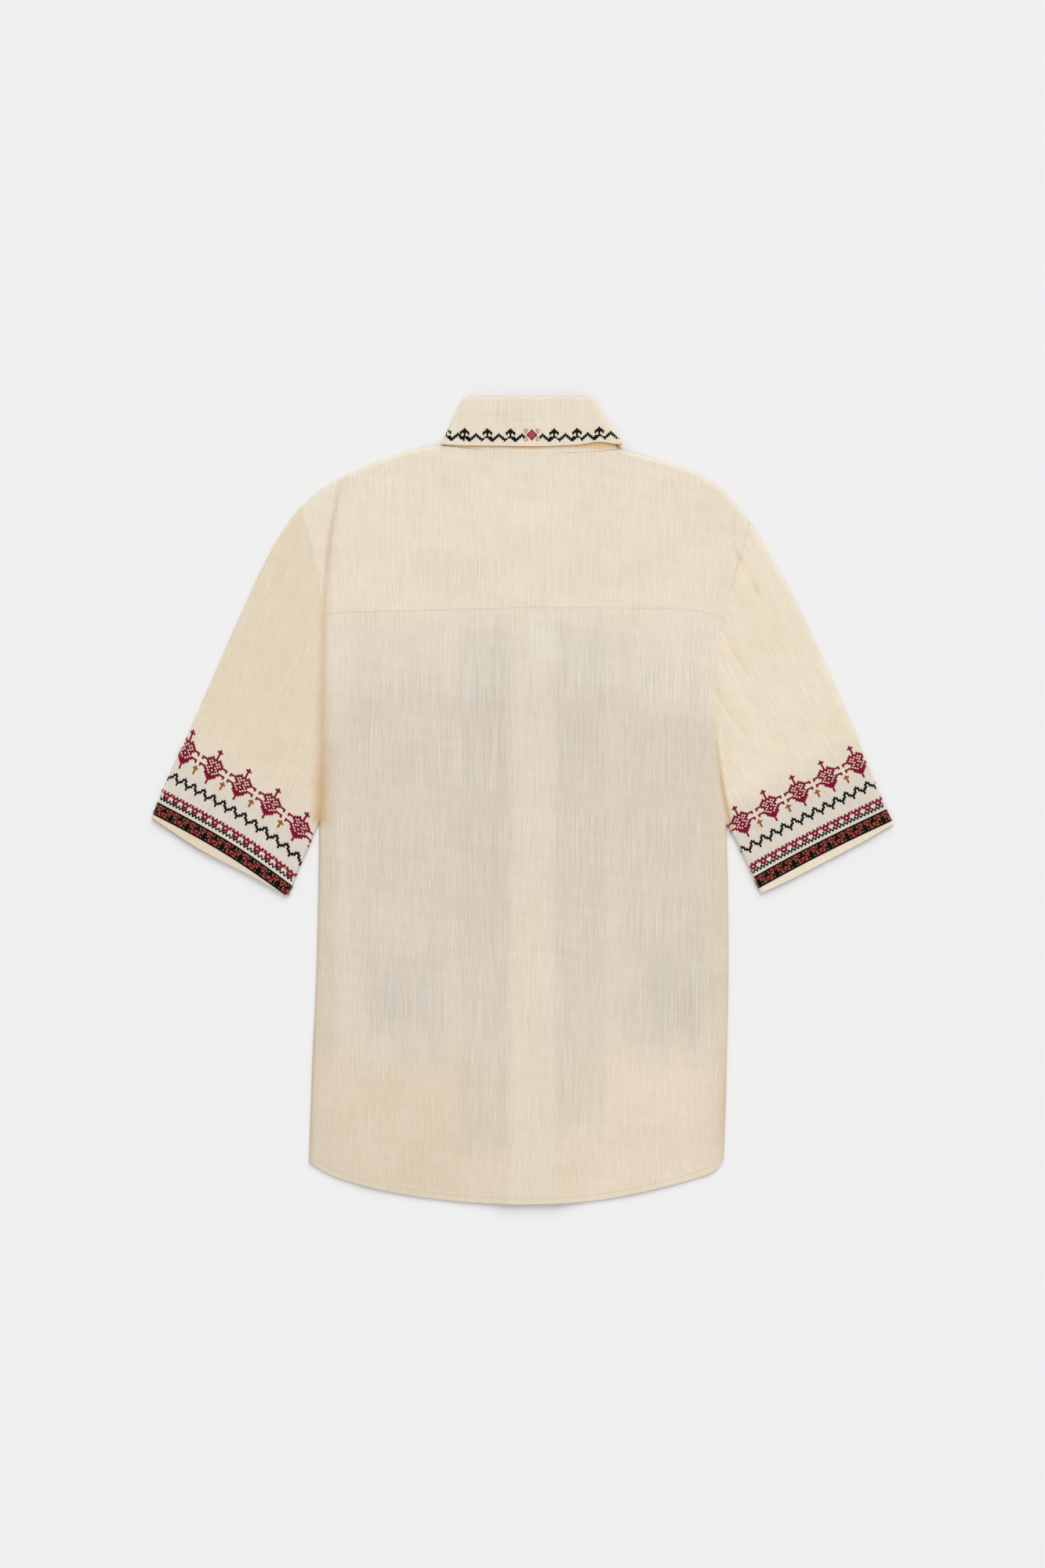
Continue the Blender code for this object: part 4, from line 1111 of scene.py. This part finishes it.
def right_sleeve_place(q, v):
    """The same for the right sleeve, whose cloth lies flatter."""
    u = 3.4 + 1.49 * q
    arch = 1.6 * (np.sin(math.pi * np.clip(u / 150, 0, 1)) - 1) * (1 - v / 110)
    droop = 2.2 * (np.clip(60 - u, 0, None) / 60) ** 2 * v / 75
    return u, v + arch - droop


def chart_letters(chart):
    """Each stitch of a chart: its column from the left, its row from the bottom, and its letter."""
    found = []
    for down, letters in enumerate(chart):
        row = len(chart) - 1 - down
        found += [(column, row, letter) for column, letter in enumerate(letters) if letter != "."]
    return found


def chart_cells(chart, start, count, period, low, row_height, column_width):
    """Cells of a chart repeated count times: place along, place up, thread letter, width and height."""
    cells = []
    for k in range(count):
        for column, row, letter in chart_letters(chart):
            along = start + k * period + column * column_width
            cells.append((along, low + (row + 0.5) * row_height, letter, column_width, row_height))
    return cells


def chart_at(chart, x, y, width, height):
    """Cells of a chart whose middle is at (x, y): x, y and thread letter of each."""
    middle_column, middle_row = (len(chart[0]) - 1) / 2, (len(chart) - 1) / 2
    return [
        (x + (column - middle_column) * width, y + (row - middle_row) * height, letter)
        for column, row, letter in chart_letters(chart)
    ]


def sleeve_cells(first_tulip, first_diamond, period, teeth):
    """Cells of all the charts on a sleeve, whose diamonds are a period apart."""
    tulip, peak = first_tulip - 2 * TULIP_CELL - TOOTH, -2 * WIDE - TOOTH
    start, band_period = first_diamond - period, len(BAND_CHART[0]) * BAND_CELL
    rows = (
        (BAND_CHART, BAND_START, BAND_REPEATS, band_period, BAND_LOW, BAND_ROW, BAND_CELL),
        (TULIP_CHART, tulip, teeth, TOOTH, TULIP_LOW, TULIP_ROW, TULIP_CELL),
        (ZIGZAG_CHART, peak, teeth, TOOTH, ZIGZAG_LOW, ZIGZAG_ROW, WIDE),
        (DIAMOND_CHART, start - 7 * WIDE, DIAMONDS, period, DIAMOND_LOW, DIAMOND_ROW, WIDE),
        (GOLD_CHART, start - WIDE - period / 2, DIAMONDS + 1, period, GOLD_LOW, DIAMOND_ROW, WIDE),
    )
    return [cell for row in rows for cell in chart_cells(*row)]


def sleeve_lines(count):
    """Straight stitches on a sleeve, from end to end: the fine zigzag, and the filled band's ground.

    The zigzag has count stitches up and down in turn, twice over. The ground lies between the band's
    rows, so that no cloth shows through it.
    """
    lines = []
    for low, high in FINE_LEVELS:
        for k in range(count):
            a, b = FINE_START + k * WIDE, FINE_START + (k + 1) * WIDE
            lines.append((a, low, b, high) if k % 2 == 0 else (a, high, b, low))
    for row in range(1, len(BAND_CHART)):
        level = BAND_LOW + row * BAND_ROW
        lines += [(q, level, q + GROUND_STEP, level) for q in range(*GROUND_ENDS, GROUND_STEP)]
    return lines


def tubes(starts, ends, normals, radius, lift, sections):
    """Threads with three sides, through their sections: points and faces of all of them."""
    along = ends - starts
    aside = np.cross(normals, along)
    aside /= np.linalg.norm(aside, axis=1, keepdims=True)
    stations = []
    for share, rise, thick in sections:
        middle = starts + along * share + normals * lift[:, None] * rise
        for a in np.radians((90, 210, 330)):
            out = aside * math.cos(a) * radius[:, None] * thick + normals * math.sin(a) * THREAD_RISE
            stations.append(middle + out)
    points = np.stack(stations, axis=1)
    last = 3 * (len(sections) - 1)
    sides = ((0, 1, 4, 3), (1, 2, 5, 4), (2, 0, 3, 5))
    faces = np.concatenate([3 * k + np.array(sides) for k in range(len(sections) - 1)])
    caps = np.array(((2, 1, 0), (last, last + 1, last + 2)))
    offsets = (np.arange(len(points)) * (last + 3))[:, None, None]
    quads = (faces[None] + offsets).reshape(-1, 4).tolist()
    tris = (caps[None] + offsets).reshape(-1, 3).tolist()
    return points.reshape(-1, 3), quads, tris


def threaded(name, starts, ends, ups, widths, lifts, kinds, materials, sections):
    """One piece made of separate threads, each with the material of its letter in kinds."""
    points, quads, tris = tubes(starts, ends, ups, widths, lifts, sections)
    kinds = list(kinds)
    used = [letter for letter in THREADS if letter in kinds]
    piece = new_object(name, points, quads + tris, [materials[letter] for letter in used])
    index = np.array([used.index(kind) for kind in kinds])
    sides = np.repeat(index, 3 * (len(sections) - 1))
    piece.data.polygons.foreach_set("material_index", np.concatenate([sides, np.repeat(index, 2)]))
    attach(piece, "root")


def stitched(
    name, surface, crosses, lines, line_width, from_below, materials, lowest=-math.inf, black=THREAD_SHARE
):
    """Cross stitches and straight stitches laid on a surface as one piece. Either may be None.

    crosses holds the middles, thread letters and two half axes of the cross stitches, and lines the ends
    and the one letter of the straight ones, all in the plane. Each is dropped on the surface along Z, and
    left out where it misses or lands lower than lowest.
    """
    tree = BVHTree.FromObject(surface, bpy.context.evaluated_depsgraph_get())
    start_z = UNDER_START if from_below else TOP_START
    direction = Vector((0, 0, 1 if from_below else -1))
    low = UNDER_LIFT if from_below else STITCH_LIFT

    def landed(xy):
        spots, normals, good = [], [], []
        for x, y in xy:
            spot, normal, _, _ = tree.ray_cast(Vector((x * MM, y * MM, start_z)), direction)
            ok = spot is not None and abs(normal.z) > LEVEL and spot.z / MM > lowest
            good.append(ok)
            spots.append(tuple(c / MM for c in spot) if ok else (0, 0, 0))
            if ok and (normal.z > 0) == from_below:
                normal = -normal
            normals.append(tuple(normal) if ok else (0, 0, 1))
        return np.array(spots, float), np.array(normals, float), np.array(good)

    threads = []
    if crosses:
        places, letters, axes = crosses
        spots, normals, good = landed(places)
        spots, normals = spots[good], normals[good]
        kept = [letter for letter, ok in zip(letters, good) if ok]
        bold = np.where(np.array(kept) == "K", black, THREAD_SHARE)

        def tangent(d):
            flat = np.concatenate([d, np.zeros((len(d), 1))], axis=1)
            return flat - normals * (flat * normals).sum(axis=1, keepdims=True)

        tu, tv = tangent(axes[0][good]), tangent(axes[1][good])
        for first, second, lift in ((-tu - tv, tu + tv, low), (tu - tv, tv - tu, low * CROSSED)):
            width, lift = np.linalg.norm(first, axis=1) * bold, np.full(len(spots), lift)
            first, second = spots + first * STITCH_REACH, spots + second * STITCH_REACH
            threads.append((first, second, normals, width, lift, kept))
    if lines:
        line_ends, letter = lines
        spots_a, normals_a, good_a = landed(line_ends[:, :2])
        spots_b, normals_b, good_b = landed(line_ends[:, 2:])
        both = good_a & good_b
        count, lift = both.sum(), low if from_below else min(low, line_width)
        width, lift = np.full(count, line_width), np.full(count, lift)
        normals = (normals_a[both] + normals_b[both]) / 2
        threads.append((spots_a[both], spots_b[both], normals, width, lift, [letter] * count))
    parts = (np.concatenate(part) for part in zip(*threads))
    threaded(name, *parts, materials, FLAT if from_below else ARCHED)


def sleeve_stitches(name, surface, frame, place, cells, lines, from_below, materials):
    origin, along, up = (np.array(part) for part in frame)

    def world(q, v):
        u, w = place(q, v)
        return origin + u[:, None] * along + w[:, None] * up

    q, v, half_u, half_v = np.array([(q, v, width / 2, height / 2) for q, v, _, width, height in cells]).T
    axis_u = (world(q + half_u, v) - world(q - half_u, v)) / 2
    axis_v = (world(q, v + half_v) - world(q, v - half_v)) / 2
    crosses = world(q, v), [cell[2] for cell in cells], (axis_u, axis_v)
    places = np.array(lines, float).T
    ends = np.concatenate([world(*places[:2]), world(*places[2:])], axis=1)
    stitched(name, surface, crosses, (ends, "K"), LINE_WIDTH, from_below, materials, black=BLACK_SHARE)


def level_crosses(cells, width, height):
    """Cross stitches in upright cells, from rows of x, y and letter: middles, letters and half axes."""
    along = np.tile((width / 2, 0.0), (len(cells), 1))
    up = np.tile((0.0, height / 2), (len(cells), 1))
    return np.array([cell[:2] for cell in cells]), [cell[2] for cell in cells], (along, up)


def front_stitches(sheets, materials):
    """The fronts' embroidery, seen from below."""
    width, height = FRONT_CELL
    upright = ["".join(column) for column in zip(*ZIGZAG_CHART)]
    for piece, columns in FRONT_COLUMNS.items():
        zigzags, low, count = FRONT_ZIGZAGS[piece]
        cells = []
        for middles, y, repeats, step, chart in columns:
            for x in middles:
                for k in range(repeats):
                    cells += chart_at(chart, x, y + k * step, width, height)
        for x in zigzags:
            for k in range(count):
                cells += chart_at(upright, x, low + k * len(upright) * width, height, width)
        crosses = level_crosses(cells, width, height)
        stitched(f"{piece}_embroidery", sheets[piece][0], crosses, None, LINE_WIDTH, True, materials)


def buttons(sheets, materials):
    """Finish of the buttons, the threads through their holes, and the worked holes round them."""
    finish = button_material()
    starts, ends, edges = [], [], []
    for name, y in BUTTONS:
        for held in bpy.data.objects[name].material_slots:
            held.material = finish
        for a in np.radians((45, 135)):
            out = np.array((math.cos(a), math.sin(a), 0)) * HOLE_SPREAD
            middle = np.array((BAND_X, y, THREAD_HEIGHT))
            starts.append(middle - out)
            ends.append(middle + out)
    count = len(starts)
    sizes = [np.full(count, size) for size in BUTTON_THREAD]
    parts = np.array(starts), np.array(ends), np.tile((0.0, 0.0, -1.0), (count, 1)), *sizes
    threaded("button_threads", *parts, ["C"] * count, materials, ARCHED)
    for _, y in BUTTONS[1:]:
        for side in (-1, 1):
            near, far = (BAND_X + side * reach for reach in HOLE_REACH)
            for k in range(HOLE_STITCHES):
                level = y + HOLE_FIRST + k * HOLE_STEP
                edges.append((near, level, far, level))
    lines = np.array(edges), "C"
    stitched("worked_buttonholes", sheets["band"][0], None, lines, HOLE_WIDTH, True, materials)


def scroll(side_x, side_y):
    """Ends of the short stitches of one scroll that curls away from the middle motif."""
    turns = np.linspace(0, 1, 15)
    radius = SCROLL_SIZE * (0.28 + 0.72 * turns)
    angle = np.radians(250 + 420 * (1 - turns))
    x = MOTIF[0] + side_x * (SCROLL_PLACE[0] + radius * np.cos(angle))
    y = MOTIF[1] + side_y * (SCROLL_PLACE[1] + radius * np.sin(angle))
    points = np.stack([x, y], axis=1)
    return np.concatenate([points[:-1], points[1:]], axis=1)


def collar_stitches(surface, materials):
    cells = []
    for trees, turn in ((LEFT_TREES, 1), (RIGHT_TREES, -1)):
        for tree in trees:
            for column, row, letter in chart_letters(TREE_CHART):
                x = tree + turn * (column - TREE_COLUMN) * TREE_CELL
                if turn * (MOTIF[0] - x) >= MOTIF_CLEAR:
                    cells.append((x, (row + 0.5) * TREE_ROW, letter))
    places, letters, axes = level_crosses(cells, TREE_CELL, TREE_ROW)
    x, low = places[:, 0], np.transpose(COLLAR_ROWS)
    places[:, 1] += np.interp(x, *low)
    axes[0][:, 1] = (np.interp(x + 1, *low) - np.interp(x - 1, *low)) / 2 * TREE_CELL / 2
    motif = level_crosses(chart_at(CENTRE_CHART, *MOTIF, *MOTIF_CELL), *MOTIF_CELL)
    axes = [np.concatenate(pair) for pair in zip(axes, motif[2])]
    crosses = np.concatenate([places, motif[0]]), letters + motif[1], axes
    curls = np.concatenate([scroll(side_x, side_y) for side_x in (-1, 1) for side_y in (-1, 1)])
    lines = curls, "B"
    stitched("collar_embroidery", surface, crosses, lines, SCROLL_WIDTH, False, materials, COLLAR_LOW)


def dashes(line, side, offset, pitch, share, start=0.0, end=1.0):
    """Topstitching: short straight stitches beside a curve, as the ends of each in the plane."""
    moved = inset(line, lambda t: offset, side)
    count = int(length(line) * (end - start) / pitch)
    first = start + (end - start) * np.arange(count) / count
    last = first + (end - start) * share / count
    return np.concatenate([moved(first), moved(last)], axis=1)


def topstitching(sheets, materials):
    hem = dashes(curve(HEM), 1, 6.0, *TOPSTITCH, 0.01, 0.99)
    neck = dashes(curve(NECK_BACK), -1, 2.0, *NECK_STITCH, 0.28, 0.72)
    left, right = (
        dashes(straight(*((x, y) for y in BAND_ENDS)), 1, 0.0, *TOPSTITCH)
        for x in (BAND_X - BAND_STITCH, BAND_X + BAND_STITCH)
    )
    for name, piece, ends in (
        ("hem_stitches", "back", hem),
        ("left_band_stitches", "band", left),
        ("right_band_stitches", "band", right),
        ("neck_stitches", "yoke", neck),
    ):
        stitched(name, sheets[piece][0], None, (ends, "C"), FINE_WIDTH, piece == "band", materials)


def stage():
    n = Nodes("floor")
    n.surface({"Base Color": (*albedo(FLOOR_COLOUR), 1), "Roughness": 0.9, "Specular IOR Level": 0.1})
    corners = [(x * FLOOR_HALF, y * FLOOR_HALF, 0) for x, y in ((-1, -1), (1, -1), (1, 1), (-1, 1))]
    new_object("floor", corners, [(0, 1, 2, 3)], [n.material])


def light():
    world = bpy.context.scene.world or bpy.data.worlds.new("studio")
    bpy.context.scene.world = world
    world.use_nodes = True
    ambient = world.node_tree.nodes["Background"]
    ambient.inputs["Color"].default_value = (1, 1, 1, 1)
    ambient.inputs["Strength"].default_value = AMBIENT
    for name, strength, spread, azimuth, elevation in SUNS:
        data = bpy.data.lights.new(name, "SUN")
        data.energy = strength
        data.angle = math.radians(spread)
        a, e = math.radians(azimuth), math.radians(elevation)
        toward = Vector((math.cos(e) * math.sin(a), math.cos(e) * math.cos(a), math.sin(e)))
        placed(name, data).rotation_euler = toward.to_track_quat("Z", "Y").to_euler()


def camera():
    data = bpy.data.cameras.new("camera")
    data.sensor_fit = "VERTICAL"
    data.sensor_height = SENSOR
    data.lens = SENSOR * CAMERA_HEIGHT / (PHOTO[1] * PHOTO_SCALE * MM)
    seen = placed("camera", data)
    seen.location = (PHOTO_CENTRE[0] * MM, PHOTO_CENTRE[1] * MM, CAMERA_HEIGHT)
    bpy.context.scene.camera = seen
    bpy.context.scene.view_settings.view_transform = "Standard"


def piece_area(piece):
    """Flat area of a thin shell: half of its faces, since it has two sides, in square metres."""
    return sum(face.area for face in piece.data.polygons) / 2


# Each row: side, angle of the grain, the outline's tables, side of the fold, reach of the lower hem,
# colour, painted darker on the left sleeve as painted shade and paler on the right as painted light, and
# the sleeve's frame
SLEEVES = (
    (
        "left",
        -22.0,
        (LEFT_ARMHOLE, LEFT_YOKE_END, LEFT_CUFF, LEFT_UNDERARM, LEFT_SLEEVE_TOP),
        (1, HEM_SHOW, LEFT_SLEEVE_SHADED, LEFT_FRAME),
    ),
    (
        "right",
        27.0,
        (RIGHT_ARMHOLE, RIGHT_YOKE_END, RIGHT_CUFF, RIGHT_UNDERARM, RIGHT_SLEEVE_TOP),
        (-1, 0.0, RIGHT_SLEEVE_LIT, RIGHT_FRAME),
    ),
)
# Each row: side, frame, place of a cell, then the first tulip, the first diamond, the diamonds' period
# and the number of teeth, and the number of stitches in the fine zigzag
SLEEVE_CHARTS = (
    ("left", LEFT_FRAME, left_sleeve_place, (2.0, 0.0, 22.25, 16), 84),
    ("right", RIGHT_FRAME, right_sleeve_place, (1.1, 7.7, 22.2, 15), 80),
)


def main():
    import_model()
    camera()
    light()
    stage()
    gauze = cloth_material("gauze", 0.0)
    # Each sheet with the size of its flat piece of cloth, in metres
    sheets = {"back": (back(gauze), (0.45, 0.62)), "yoke": (yoke(gauze), (0.47, 0.19))}
    left_front, right_front = fronts(gauze)
    sheets["left_front"] = left_front, (0.23, 0.78)
    sheets["right_front"] = right_front, (0.25, 0.78)
    sheets["band"] = button_band(gauze), (0.042, 0.70)
    for side, angle, tables, shape in SLEEVES:
        cloth = cloth_material(f"gauze, {side} sleeve", angle)
        sheets[f"{side}_sleeve"] = sleeve(side, cloth, tables, *shape), (0.62, 0.37)
    sheets["stand"] = collar_stand(gauze), (0.52, 0.045)
    sheets["leaf"] = collar_leaf(gauze), (0.58, 0.12)
    for piece, flat in sheets.values():
        round(piece_area(piece), 3)
    threads = {letter: thread_material(*thread) for letter, thread in THREADS.items()}
    for side, frame, place, charts, zigzag in SLEEVE_CHARTS:
        cells, lines = sleeve_cells(*charts), sleeve_lines(zigzag)
        for layer, from_below in (("upper", False), ("lower", True)):
            name, surface = f"{side}_sleeve_embroidery_{layer}", sheets[f"{side}_sleeve"][0]
            sleeve_stitches(name, surface, frame, place, cells, lines, from_below, threads)
    collar_stitches(sheets["leaf"][0], threads)
    front_stitches(sheets, threads)
    buttons(sheets, threads)
    topstitching(sheets, threads)


main()
